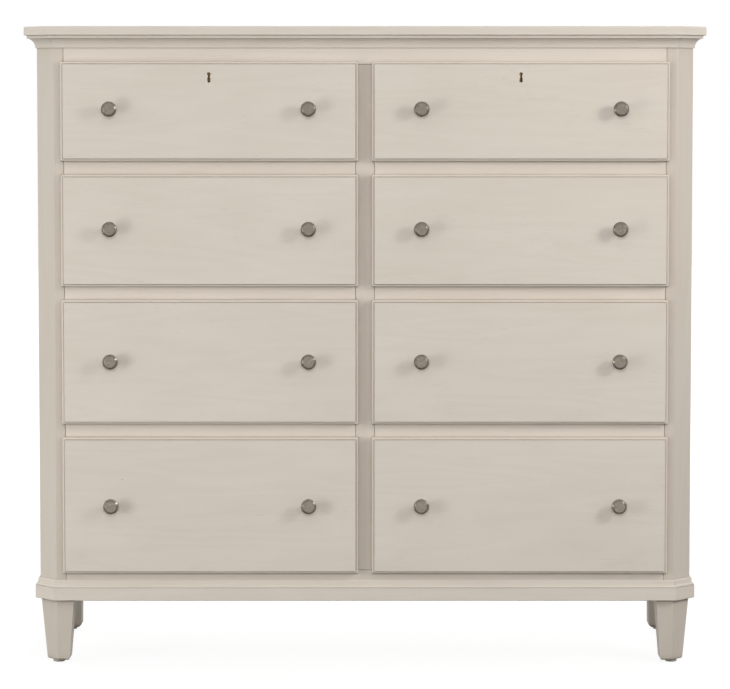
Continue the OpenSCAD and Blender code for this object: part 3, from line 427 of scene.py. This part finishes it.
def bare_wood(name, run, finish, strips=None, light=None, dark=None, figure=0.05):
    """Sanded bare wood with growth lines, pores, and dust and painted shade in its corners."""
    material, w, shader = new_material(name)
    place, along = run_vector(w, run)
    if strips:
        x, y, z = w.parts(place)[:]
        along = turned_ends(w, place, along, strips, w.whole(y, x, z))
    grain = w.group(shared_group("Wood grain", build_grain), Vector=along, Line_Length=0.14, Line_Width=0.0011,
                    Figure_Size=figure)
    patches = w.group(shared_group("Patches", build_patches), Vector=along, Patch_Size=0.2)
    dirt_and_shade = w.group(shared_group("Crease dirt", build_crease_dirt_and_shade), Vector=place, Reach=0.012)["Dirt"]
    wear_and_highlight = w.group(shared_group("Edge wear", build_edge_wear_and_highlight), Vector=place, Radius=0.0012)["Wear"]
    light, dark = light or finish.wood_light, dark or finish.wood_dark
    share = WOOD_SHARES
    shade = w.total((grain["Figure"], share["figure"]), (grain["Lines"], share["lines"]),
                    (patches["Tone"], share["tone"]))
    colour = w.mix(shade, solid(light), solid(dark))
    colour = w.mix(w.math("MULTIPLY", grain["Pores"], share["pores"]), colour, solid(finish.wood_pore))
    # Dust and painted shade in the corners.
    colour = w.mix(w.math("MULTIPLY", dirt_and_shade, share["dust"]), colour, solid(finish.wood_pore))
    colour = w.mix(w.math("MULTIPLY", wear_and_highlight, share["wear_and_highlight"]), colour, solid(light))
    w.feed(shader.inputs["Base Color"], colour)
    w.feed(shader.inputs["Roughness"], w.math("ADD", w.math("MULTIPLY", grain["Lines"], 0.12), 0.58))
    shader.inputs["Specular IOR Level"].default_value = 0.3
    add_bump(w, shader, w.total((grain["Lines"], 0.5), (grain["Pores"], -1.0)), 0.35, 0.3 * MM)
    return material


def aged_metal(name, colour, tarnish, roughness, rubbed=None):
    """Cast and plated metal with cloudy tarnish, fine scratches and dark recesses.

    Where only one face is rubbed bright, rubbed is the way it looks; what faces elsewhere is tarnished darker,
    and painted shade darkens it further the more it faces downwards."""
    material, w, shader = new_material(name)
    place = w.add("ShaderNodeTexCoord").outputs["Object"]
    marks = w.group(shared_group("Scratches", build_scratches), Vector=place)
    dirt_and_shade = w.group(shared_group("Crease dirt", build_crease_dirt_and_shade), Vector=place, Reach=0.003)["Dirt"]
    wear_and_highlight = w.group(shared_group("Edge wear", build_edge_wear_and_highlight), Vector=place, Radius=0.0009, Spread=0.004)["Wear"]
    share = METAL_SHARES
    shade = w.total((marks["Clouds"], share["clouds"]), (dirt_and_shade, share["dirt_and_shade"]), clamp=True)
    if rubbed:
        normal = w.add("ShaderNodeNewGeometry").outputs["Normal"]
        turned = w.ramp(w.vector("DOT_PRODUCT", normal, rubbed), 0.72, 0.97, 1.0, 0.0)
        # Painted shade: the further a face turns downwards, the darker it is.
        shade_below = w.ramp(w.parts(normal)["Z"], -0.9, 0.9, 1.0, 0.05)
        shade = w.math("ADD", shade, w.math("MULTIPLY", turned, shade_below), clamp=True)
    skin = w.mix(shade, solid(colour), solid(tarnish))
    scratched, worn_and_lit = ([min(1, part * lighter) for part in colour] for lighter in (SCRATCH_LIGHTER, WEAR_AND_HIGHLIGHT_LIGHTER))
    skin = w.mix(w.math("MULTIPLY", marks["Scratches"], share["scratches"]), skin, solid(scratched))
    skin = w.mix(w.math("MULTIPLY", wear_and_highlight, share["wear_and_highlight"]), skin, solid(worn_and_lit))
    w.feed(shader.inputs["Base Color"], skin)
    shader.inputs["Metallic"].default_value = 1.0
    rough = w.total((marks["Clouds"], 0.12), (dirt_and_shade, 0.25))
    w.feed(shader.inputs["Roughness"], w.math("ADD", rough, roughness, clamp=True))
    add_bump(w, shader, w.total((marks["Clouds"], 0.3), (marks["Scratches"], -1.0)), 0.12, 0.2 * MM)
    return material


def moulded_nylon(name, finish):
    """Pale moulded nylon, matt, scuffed where it meets the floor."""
    material, w, shader = new_material(name)
    place = w.add("ShaderNodeTexCoord").outputs["Object"]
    marks = w.group(shared_group("Scratches", build_scratches), Vector=place, Cloud_Size=0.004)
    low = w.ramp(w.parts(place)["Z"], 0.0, 0.003, 1.0, 0.0)
    scuff = w.math("MULTIPLY", low, marks["Clouds"])
    shade = w.total((marks["Clouds"], 0.35), (scuff, 0.5), clamp=True)
    w.feed(shader.inputs["Base Color"], w.mix(shade, solid(finish.nylon), solid(finish.nylon_scuff)))
    w.feed(shader.inputs["Roughness"], w.ramp(marks["Clouds"], 0.0, 1.0, 0.42, 0.62))
    add_bump(w, shader, marks["Clouds"], 0.3, 0.2 * MM)
    return material


# ---- Dressing CAD nodes


def smooth_shading():
    """A geometry group that shades every face smooth, so that weighted normals keep flats flat."""
    name = "Smooth shading"
    if name in bpy.data.node_groups:
        return bpy.data.node_groups[name]
    tree = bpy.data.node_groups.new(name, "GeometryNodeTree")
    tree.interface.new_socket("Geometry", in_out="INPUT", socket_type="NodeSocketGeometry")
    tree.interface.new_socket("Geometry", in_out="OUTPUT", socket_type="NodeSocketGeometry")
    given = tree.nodes.new("NodeGroupInput")
    smooth = tree.nodes.new("GeometryNodeSetShadeSmooth")
    out = tree.nodes.new("NodeGroupOutput")
    tree.links.new(given.outputs[0], smooth.inputs["Geometry"])
    tree.links.new(smooth.outputs["Geometry"], out.inputs[0])
    return tree


def soften(thing, width, angle=30):
    """Rounds an object's corners by a small bevel, without a change to its own mesh."""
    weld = thing.modifiers.new("Weld", "WELD")
    weld.merge_threshold = 1e-6
    bevel = thing.modifiers.new("Soft corners", "BEVEL")
    bevel.width = width
    bevel.segments = 2
    bevel.limit_method = "ANGLE"
    bevel.angle_limit = math.radians(angle)
    bevel.use_clamp_overlap = False
    bevel.harden_normals = False
    shade = thing.modifiers.new("Smooth shading", "NODES")
    shade.node_group = smooth_shading()
    normals = thing.modifiers.new("Even normals", "WEIGHTED_NORMAL")
    normals.weight = 100


def dress(names, material, width=None, angle=30):
    """Gives CAD nodes their material and, with a width, soft corners."""
    for name in names:
        node = NODES[name]
        for slot in node.material_slots:
            slot.link = "OBJECT"
            slot.material = material
        if width:
            soften(node, width, angle)


# ---- Pieces that only the visual model has


def place_mesh(name, shape):
    """An object of the scene with the mesh of a bmesh, which is used up."""
    mesh = bpy.data.meshes.new(name)
    shape.to_mesh(mesh)
    shape.free()
    thing = bpy.data.objects.new(name, mesh)
    bpy.context.scene.collection.objects.link(thing)
    return thing


def lathe(points, turns=24):
    """A closed turned form about Y from (radius, y) pairs, as a bmesh."""
    shape = bmesh.new()
    rings = []
    for radius, y in points:
        if radius == 0:
            rings.append([shape.verts.new((0, y, 0))])
            continue
        angles = [2 * math.pi * i / turns for i in range(turns)]
        rings.append([shape.verts.new((radius * math.cos(a), y, radius * math.sin(a))) for a in angles])
    for low, high in zip(rings, rings[1:]):
        for i in range(turns):
            j = (i + 1) % turns
            corners = [low[i % len(low)], low[j % len(low)], high[j % len(high)], high[i % len(high)]]
            shape.faces.new(list(dict.fromkeys(corners)))
    bmesh.ops.recalc_face_normals(shape, faces=shape.faces)
    return shape


def cross_head_screw(head, height, slot, slot_deep):
    """A domed screw head with a cross recess, facing +Y, as a mesh."""
    outline = ((0, -1), (0.96, -1), (1, -0.55), (0.93, -0.1), (0.7, 0.3), (0.38, 0.5), (0, DOME))
    body = place_mesh("screw_head", lathe([(head * out, height * up) for out, up in outline]))
    cut = bmesh.new()
    for across, upright in ((slot, slot / 4), (slot / 4, slot)):
        made = bmesh.ops.create_cube(cut, size=1.0)["verts"]
        bmesh.ops.scale(cut, vec=(across, slot_deep, upright), verts=made)
    bmesh.ops.translate(cut, vec=(0, height * DOME - slot_deep * 0.2, 0), verts=cut.verts)
    cutter = place_mesh("screw_cut", cut)
    boolean = body.modifiers.new("Cross", "BOOLEAN")
    boolean.object = cutter
    boolean.operation = "DIFFERENCE"
    boolean.solver = "EXACT"
    boolean.use_self = True
    bpy.context.view_layer.update()
    done = bpy.data.meshes.new_from_object(body.evaluated_get(bpy.context.evaluated_depsgraph_get()))
    for thing in (body, cutter):
        bpy.data.objects.remove(thing)
    return done


def scatter_screws(name, places, screw, rng):
    """One object that holds a screw head at each place, each turned by chance."""
    shape = bmesh.new()
    for place in places:
        before = len(shape.verts)
        shape.from_mesh(screw)
        new = shape.verts[before:]
        turn = Matrix.Rotation(rng.uniform(0, math.pi), 4, "Y")
        bmesh.ops.transform(shape, matrix=Matrix.Translation(place) @ turn, verts=new)
    return place_mesh(name, shape)


# ---- Sizes and colours that a user would change


class ChestFinish(bpy.types.PropertyGroup):
    """Colours and textures of the chest"""

    paint_light: bpy.props.FloatVectorProperty(
        name="Paint, light", description="Paint where it is thickest", subtype="COLOR", size=3, min=0, max=1,
        default=srgb(218, 209, 198))
    paint_dark: bpy.props.FloatVectorProperty(
        name="Paint, dark", description="Paint where the grain shows through", subtype="COLOR", size=3, min=0, max=1,
        default=srgb(207, 197, 185))
    # This brown is also the colour of painted shade in creases, along joints and evenly over shaded pieces.
    glaze_and_shade: bpy.props.FloatVectorProperty(
        name="Glaze", description="Brown that stays in pores and quirks", subtype="COLOR", size=3, min=0, max=1,
        default=srgb(134, 118, 98))
    # Lighter paint on corners stands for rubbing and for painted highlights.
    worn_and_lit: bpy.props.FloatVectorProperty(
        name="Worn edge", description="Paint where corners are rubbed", subtype="COLOR", size=3, min=0, max=1,
        default=srgb(226, 217, 204))
    speck: bpy.props.FloatVectorProperty(
        name="Specks", description="Small dark marks in the paint", subtype="COLOR", size=3, min=0, max=1,
        default=srgb(120, 104, 86))
    paint_roughness: bpy.props.FloatProperty(
        name="Paint roughness", description="Low is glossy, high is matt", subtype="FACTOR", min=0, max=1,
        default=0.5)
    grain_strength: bpy.props.FloatProperty(
        name="Grain under paint", description="How far the grain shows through the paint", subtype="FACTOR",
        min=0, max=2, default=0.7)
    wood_light: bpy.props.FloatVectorProperty(
        name="Bare wood, light", description="Early wood of boxes and runners", subtype="COLOR", size=3, min=0, max=1,
        default=srgb(216, 193, 158))
    wood_dark: bpy.props.FloatVectorProperty(
        name="Bare wood, dark", description="Late wood of boxes and runners", subtype="COLOR", size=3, min=0, max=1,
        default=srgb(184, 152, 112))
    wood_pore: bpy.props.FloatVectorProperty(
        name="Bare wood, pores", description="Pores and dusty corners of bare wood", subtype="COLOR", size=3,
        min=0, max=1, default=srgb(128, 98, 68))
    sheet_light: bpy.props.FloatVectorProperty(
        name="Sheet, light", description="Light streaks of the sheet material", subtype="COLOR", size=3, min=0, max=1,
        default=srgb(205, 180, 146))
    sheet_dark: bpy.props.FloatVectorProperty(
        name="Sheet, dark", description="Dark streaks of the sheet material", subtype="COLOR", size=3, min=0, max=1,
        default=srgb(173, 143, 108))
    nickel: bpy.props.FloatVectorProperty(
        name="Nickel", description="Polished parts of the knobs", subtype="COLOR", size=3, min=0, max=1,
        default=srgb(150, 141, 130))
    nickel_tarnish: bpy.props.FloatVectorProperty(
        name="Nickel, tarnished", description="Clouds and recesses of the knobs", subtype="COLOR", size=3,
        min=0, max=1, default=srgb(72, 64, 55))
    brass: bpy.props.FloatVectorProperty(
        name="Brass", description="Locks and their bolts", subtype="COLOR", size=3, min=0, max=1,
        default=srgb(202, 170, 104))
    brass_tarnish: bpy.props.FloatVectorProperty(
        name="Brass, tarnished", description="Clouds and recesses of the locks", subtype="COLOR", size=3,
        min=0, max=1, default=srgb(122, 92, 50))
    steel: bpy.props.FloatVectorProperty(
        name="Steel", description="Zinc-plated screws", subtype="COLOR", size=3, min=0, max=1,
        default=srgb(178, 176, 168))
    nylon: bpy.props.FloatVectorProperty(
        name="Nylon", description="Glides under the feet", subtype="COLOR", size=3, min=0, max=1,
        default=srgb(176, 172, 164))
    nylon_scuff: bpy.props.FloatVectorProperty(
        name="Nylon, scuffed", description="Scuffs on the glides", subtype="COLOR", size=3, min=0, max=1,
        default=srgb(150, 145, 136))
    corner: bpy.props.FloatProperty(
        name="Soft corner", description="Bevel on the corners of painted pieces", subtype="DISTANCE", unit="LENGTH",
        min=0, max=0.003, default=0.6 * MM)


class ChestStage(bpy.types.PropertyGroup):
    """Camera, lamps and floor"""

    camera_away: bpy.props.FloatProperty(
        name="Camera distance", description="From the middle of the chest to the camera", subtype="DISTANCE",
        unit="LENGTH", min=1, max=20, default=6.2986)
    camera_height: bpy.props.FloatProperty(
        name="Camera height", description="From the floor to the camera", subtype="DISTANCE", unit="LENGTH",
        min=0.1, max=3, default=1.19)
    camera_tilt: bpy.props.FloatProperty(
        name="Camera tilt", description="How far the camera looks down", subtype="ANGLE", unit="ROTATION",
        min=-0.5, max=0.5, default=math.radians(3.69))
    camera_lens: bpy.props.FloatProperty(
        name="Lens", description="Focal length in millimetres", subtype="DISTANCE_CAMERA", unit="CAMERA",
        min=20, max=300, default=144.6)
    camera_shift: bpy.props.FloatProperty(
        name="Shift", description="Vertical shift of the frame", min=-0.5, max=0.5, default=-0.08)
    right_power: bpy.props.FloatProperty(
        name="Right lamp", description="Power of the small lamp near the right end", subtype="POWER", unit="POWER",
        min=0, max=2000, default=23.5)
    left_power: bpy.props.FloatProperty(
        name="Left lamp", description="Power of the low lamp near the left end", subtype="POWER", unit="POWER",
        min=0, max=2000, default=19.2)
    back_power: bpy.props.FloatProperty(
        name="Back lamp", description="Power of the lamp behind the chest", subtype="POWER", unit="POWER",
        min=0, max=2000, default=110)
    front_power: bpy.props.FloatProperty(
        name="Front lamp", description="Power of the wide lamp above the camera", subtype="POWER", unit="POWER",
        min=0, max=2000, default=111)
    top_power: bpy.props.FloatProperty(
        name="Top lamp", description="Power of the lamp above and in front of the chest", subtype="POWER",
        unit="POWER", min=0, max=2000, default=36)
    room_behind: bpy.props.FloatProperty(
        name="Room, behind", description="Soft light from behind the chest", min=0, max=4, default=0.3)
    room_left: bpy.props.FloatProperty(
        name="Room, left", description="Soft light from the left", min=0, max=4, default=1.22)
    room_right: bpy.props.FloatProperty(
        name="Room, right", description="Soft light from the right", min=0, max=4, default=0.93)
    floor_colour: bpy.props.FloatVectorProperty(
        name="Floor", description="Pale floor under the chest", subtype="COLOR", size=3, min=0, max=1,
        default=srgb(101, 100, 99))


# ---- Operators


class CHEST_OT_paint_frame(bpy.types.Operator):
    """Paint the posts, rails, upright and side panels"""

    bl_idname = "chest.paint_frame"
    bl_label = "Paint the frame"

    def execute(self, context):
        finish = context.scene.chest_finish
        # Painted shade: evenly over the posts and uprights, and spreading over their faces from the drawer fronts
        # beside them.
        dress(POST_NODES, painted("painted_post", ALONG_Z, finish, reach=35 * MM, painted_shade=0.15), finish.corner)
        upright = painted("painted_upright", ALONG_Z, finish, reach=20 * MM, painted_shade=0.04)
        dress(UPRIGHT_NODES + SIDE_NODES, upright, finish.corner)
        dress(LEVEL_NODES, painted("painted_level", ALONG_X, finish), finish.corner)
        # Less glaze and painted shade on the bottom rail.
        dress(["bottom_rail"], painted("painted_bottom_rail", ALONG_X, finish, corner_glaze_and_shade=0.2), finish.corner)
        return {"FINISHED"}


class CHEST_OT_paint_top(bpy.types.Operator):
    """Paint the top board, whose edges are already round"""

    bl_idname = "chest.paint_top"
    bl_label = "Paint the top board"

    def execute(self, context):
        dress(["top_panel"], painted("painted_top", ALONG_X, context.scene.chest_finish))
        return {"FINISHED"}


class CHEST_OT_paint_mouldings(bpy.types.Operator):
    """Paint the cornice and the base moulding along their run"""

    bl_idname = "chest.paint_mouldings"
    bl_label = "Paint the mouldings"

    def execute(self, context):
        finish = context.scene.chest_finish
        # Painted shade lies evenly over the cornice; the base moulding has less glaze and painted shade in its quirks.
        dress(["cornice_moulding"], painted("painted_cornice", ALONG_RUN, finish, painted_shade=0.08), finish.corner / 2)
        dress(["base_moulding"], painted("painted_base", ALONG_RUN, finish, corner_glaze_and_shade=0.2), finish.corner / 2)
        return {"FINISHED"}


class CHEST_OT_paint_fronts(bpy.types.Operator):
    """Paint the drawer fronts, with the bead at their ends running upright"""

    bl_idname = "chest.paint_fronts"
    bl_label = "Paint the drawer fronts"

    bead: bpy.props.FloatProperty(
        name="Bead", description="Width of the bead and its quirk", subtype="DISTANCE", unit="LENGTH",
        min=0, max=0.05, default=5.2 * MM)

    def execute(self, context):
        finish = context.scene.chest_finish
        low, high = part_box("drawer_1_right_front")
        strips = ((low.x + high.x) / 2, (high.x - low.x) / 2, self.bead)
        # Deeper glaze and painted shade in the quirks round the fronts.
        dress(drawer_nodes("front"), painted("painted_front", ALONG_X, finish, strips, rounded=True, corner_glaze_and_shade=1.7))
        return {"FINISHED"}


class CHEST_OT_paint_feet(bpy.types.Operator):
    """Paint the feet"""

    bl_idname = "chest.paint_feet"
    bl_label = "Paint the feet"

    def execute(self, context):
        finish = context.scene.chest_finish
        # Painted shade: evenly over the feet, spreading down from the base moulding, and darker on the rear feet as if
        # shaded under the case.
        dress(["front_feet"], painted("painted_foot", ALONG_Z, finish, reach=30 * MM, painted_shade=0.2), finish.corner)
        shaded = painted("painted_rear_foot", ALONG_Z, finish, reach=80 * MM, corner_glaze_and_shade=1.3, painted_shade=0.35)
        dress(["rear_feet"], shaded, finish.corner)
        return {"FINISHED"}


class CHEST_OT_finish_boxes(bpy.types.Operator):
    """Give the dovetailed drawer boxes and their bottoms bare wood"""

    bl_idname = "chest.finish_boxes"
    bl_label = "Finish the drawer boxes"

    side: bpy.props.FloatProperty(
        name="Side", description="Thickness of the drawer sides", subtype="DISTANCE", unit="LENGTH",
        min=0.001, max=0.05, default=12.7 * MM)

    def execute(self, context):
        finish = context.scene.chest_finish
        low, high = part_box("drawer_1_right_box")
        strips = ((low.x + high.x) / 2, (high.x - low.x) / 2, self.side)
        dress(drawer_nodes("box"), bare_wood("box_wood", ALONG_X, finish, strips), finish.corner / 2)
        sheet = bare_wood("box_bottom", ALONG_X, finish, light=finish.sheet_light, dark=finish.sheet_dark, figure=0.09)
        dress(drawer_nodes("bottom"), sheet)
        return {"FINISHED"}


class CHEST_OT_finish_inside(bpy.types.Operator):
    """Give the runners, rails, blocks, partition, dust panels and back their bare wood"""

    bl_idname = "chest.finish_inside"
    bl_label = "Finish the inside and back"

    def execute(self, context):
        finish = context.scene.chest_finish
        dress(BARE_NODES_ALONG, bare_wood("rail_wood", ALONG_X, finish), finish.corner)
        dress(BARE_NODES_DEEP, bare_wood("runner_wood", ALONG_Y, finish), finish.corner)
        dress(BARE_NODES_UPRIGHT, bare_wood("block_wood", ALONG_Z, finish), finish.corner)
        sheet = bare_wood("sheet_wood", ALONG_Z, finish, light=finish.sheet_light, dark=finish.sheet_dark, figure=0.1)
        dress(SHEET_NODES, sheet)
        return {"FINISHED"}


class CHEST_OT_finish_knobs(bpy.types.Operator):
    """Give the knobs their aged nickel"""

    bl_idname = "chest.finish_knobs"
    bl_label = "Finish the knobs"

    def execute(self, context):
        finish = context.scene.chest_finish
        # Knob faces turned to the front stay bright; the flanks are tarnished, with painted shade darkest underneath.
        nickel = aged_metal("aged_nickel", finish.nickel, finish.nickel_tarnish, 0.24, rubbed=(0.0, -1.0, 0.0))
        dress(drawer_nodes("knobs"), nickel, 0.3 * MM, 38)
        return {"FINISHED"}


class CHEST_OT_finish_locks(bpy.types.Operator):
    """Give the locks and bolts their dull brass"""

    bl_idname = "chest.finish_locks"
    bl_label = "Finish the locks"

    def execute(self, context):
        finish = context.scene.chest_finish
        brass = aged_metal("dull_brass", finish.brass, finish.brass_tarnish, 0.34)
        dress([f"{kind}_{hand}" for kind in ("lock", "lock_bolt") for hand in HANDS], brass)
        return {"FINISHED"}


class CHEST_OT_finish_glides(bpy.types.Operator):
    """Give the glides their pale nylon"""

    bl_idname = "chest.finish_glides"
    bl_label = "Finish the glides"

    def execute(self, context):
        dress(["foot_glides"], moulded_nylon("pale_nylon", context.scene.chest_finish))
        return {"FINISHED"}


class CHEST_OT_screw_back(bpy.types.Operator):
    """Drive screws round the back panel and down its middle"""

    bl_idname = "chest.screw_back"
    bl_label = "Screw the back on"

    spacing: bpy.props.FloatProperty(
        name="Spacing", description="Distance between screws", subtype="DISTANCE", unit="LENGTH",
        min=0.05, max=1, default=0.19)
    margin: bpy.props.FloatProperty(
        name="Margin", description="Distance from the panel's edge", subtype="DISTANCE", unit="LENGTH",
        min=0.002, max=0.1, default=0.009)

    def execute(self, context):
        low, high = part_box("back_panel")
        head, height, slot, slot_deep = 3.6 * MM, 1.6 * MM, 3.2 * MM, 1.4 * MM
        screw = cross_head_screw(head, height, slot, slot_deep)
        y = high.y + height * (1 - DOME)
        left, right = low.x + self.margin, high.x - self.margin
        bottom, top = low.z + self.margin, high.z - self.margin
        across = max(2, round((right - left) / self.spacing))
        up = max(2, round((top - bottom) / self.spacing))
        places = []
        for i in range(across + 1):
            x = left + (right - left) * i / across
            places += [Vector((x, y, bottom)), Vector((x, y, top))]
        for i in range(1, up):
            z = bottom + (top - bottom) * i / up
            places += [Vector((left, y, z)), Vector((right, y, z)), Vector((0, y, z))]
        screws = scatter_screws("back_screws", places, screw, random.Random(SEED))
        finish = context.scene.chest_finish
        screws.data.materials.append(aged_metal("plated_steel", finish.steel, finish.nickel_tarnish, 0.3))
        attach(screws, "case")
        return {"FINISHED"}


class CHEST_OT_set_stage(bpy.types.Operator):
    """Lay the floor, place the camera and lamps, and light the room"""

    bl_idname = "chest.set_stage"
    bl_label = "Set the stage"

    def execute(self, context):
        stage = context.scene.chest_stage
        self.lay_floor(stage)
        self.place_camera(context.scene, stage)
        self.place_lamps(stage)
        self.light_room(context.scene, stage)
        context.scene.view_settings.view_transform = "Standard"
        return {"FINISHED"}

    def lay_floor(self, stage):
        shape = bmesh.new()
        bmesh.ops.create_grid(shape, x_segments=1, y_segments=1, size=FLOOR_HALF)
        floor = place_mesh("floor", shape)
        material, w, shader = new_material("pale_floor")
        place = w.add("ShaderNodeTexCoord").outputs["Object"]
        tone = w.noise(place, 6.0, 4.0, 0.6)
        colour = w.mix(tone, solid(stage.floor_colour), solid([c * 0.97 for c in stage.floor_colour]))
        w.feed(shader.inputs["Base Color"], colour)
        shader.inputs["Roughness"].default_value = 0.9
        shader.inputs["Specular IOR Level"].default_value = 0.1
        away = w.ramp(w.vector("LENGTH", place), SHADE_NEAR, SHADE_FAR, 0.9, 1.0)
        shader.inputs["Emission Color"].default_value = WHITE
        w.feed(shader.inputs["Emission Strength"], w.math("MULTIPLY", direct_view(w), away))
        floor.data.materials.append(material)

    def place_camera(self, scene, stage):
        camera = bpy.data.cameras.new("camera")
        camera.lens = stage.camera_lens
        camera.sensor_width = SENSOR_WIDTH
        camera.shift_y = stage.camera_shift
        camera.clip_end = SIGHT
        seat = bpy.data.objects.new("camera", camera)
        seat.location = (0, -stage.camera_away, stage.camera_height)
        seat.rotation_euler = (math.pi / 2 - stage.camera_tilt, 0, 0)
        scene.collection.objects.link(seat)
        scene.camera = seat

    def place_lamps(self, stage):
        for name, power, place, size, colour, mirrored in LAMPS:
            light = bpy.data.lights.new(name, "AREA")
            light.shape = "SQUARE"
            light.size = size
            light.energy = getattr(stage, power)
            light.color = colour
            lamp = bpy.data.objects.new(name, light)
            lamp.location = place
            lamp.rotation_euler = (Vector(LAMP_AIM) - Vector(place)).to_track_quat("-Z", "Y").to_euler()
            lamp.visible_camera = False
            lamp.visible_glossy = mirrored
            bpy.context.scene.collection.objects.link(lamp)

    def light_room(self, scene, stage):
        world = bpy.data.worlds.new("room")
        world.use_nodes = True
        scene.world = world
        w = Wiring(world.node_tree)
        background = world.node_tree.nodes["Background"]
        background.inputs["Color"].default_value = WHITE
        way = w.add("ShaderNodeTexCoord").outputs["Generated"]
        sides = (((0, 1, 0), stage.room_behind), ((-1, 0, 0), stage.room_left), ((1, 0, 0), stage.room_right))
        seen = direct_view(w)
        light = 0.0
        for side, strength in sides:
            facing = w.math("MAXIMUM", w.vector("DOT_PRODUCT", way, side), 0.0)
            light = w.math("ADD", w.math("MULTIPLY", facing, strength), light)
        unseen = w.math("MULTIPLY", w.math("SUBTRACT", 1.0, seen), light)
        w.feed(background.inputs["Strength"], w.math("ADD", seen, unseen))


OPERATORS = (
    CHEST_OT_paint_frame,
    CHEST_OT_paint_top,
    CHEST_OT_paint_mouldings,
    CHEST_OT_paint_fronts,
    CHEST_OT_paint_feet,
    CHEST_OT_finish_boxes,
    CHEST_OT_finish_inside,
    CHEST_OT_finish_knobs,
    CHEST_OT_finish_locks,
    CHEST_OT_finish_glides,
    CHEST_OT_screw_back,
    CHEST_OT_set_stage,
)


class CHEST_PT_sidebar(bpy.types.Panel):
    """Lists the steps that dress and light the chest"""

    bl_label = "Chest of drawers"
    bl_idname = "CHEST_PT_sidebar"
    bl_space_type = "VIEW_3D"
    bl_region_type = "UI"
    bl_category = "Chest"

    def draw(self, context):
        column = self.layout.column(align=True)
        for operator in OPERATORS:
            column.operator(operator.bl_idname)
        for group in (context.scene.chest_finish, context.scene.chest_stage):
            box = self.layout.box()
            for name in group.__annotations__:
                box.prop(group, name)


CLASSES = (ChestFinish, ChestStage, *OPERATORS, CHEST_PT_sidebar)


def register():
    for thing in CLASSES:
        bpy.utils.register_class(thing)
    bpy.types.Scene.chest_finish = bpy.props.PointerProperty(type=ChestFinish)
    bpy.types.Scene.chest_stage = bpy.props.PointerProperty(type=ChestStage)


def unregister():
    del bpy.types.Scene.chest_stage
    del bpy.types.Scene.chest_finish
    for thing in reversed(CLASSES):
        bpy.utils.unregister_class(thing)


def main():
    register()
    bpy.ops.chest.paint_frame()
    bpy.ops.chest.paint_top()
    bpy.ops.chest.paint_mouldings()
    bpy.ops.chest.paint_fronts()
    bpy.ops.chest.paint_feet()
    bpy.ops.chest.finish_boxes()
    bpy.ops.chest.finish_inside()
    bpy.ops.chest.finish_knobs()
    bpy.ops.chest.finish_locks()
    bpy.ops.chest.finish_glides()
    bpy.ops.chest.screw_back()
    bpy.ops.chest.set_stage()


if __name__ == "__main__":
    main()
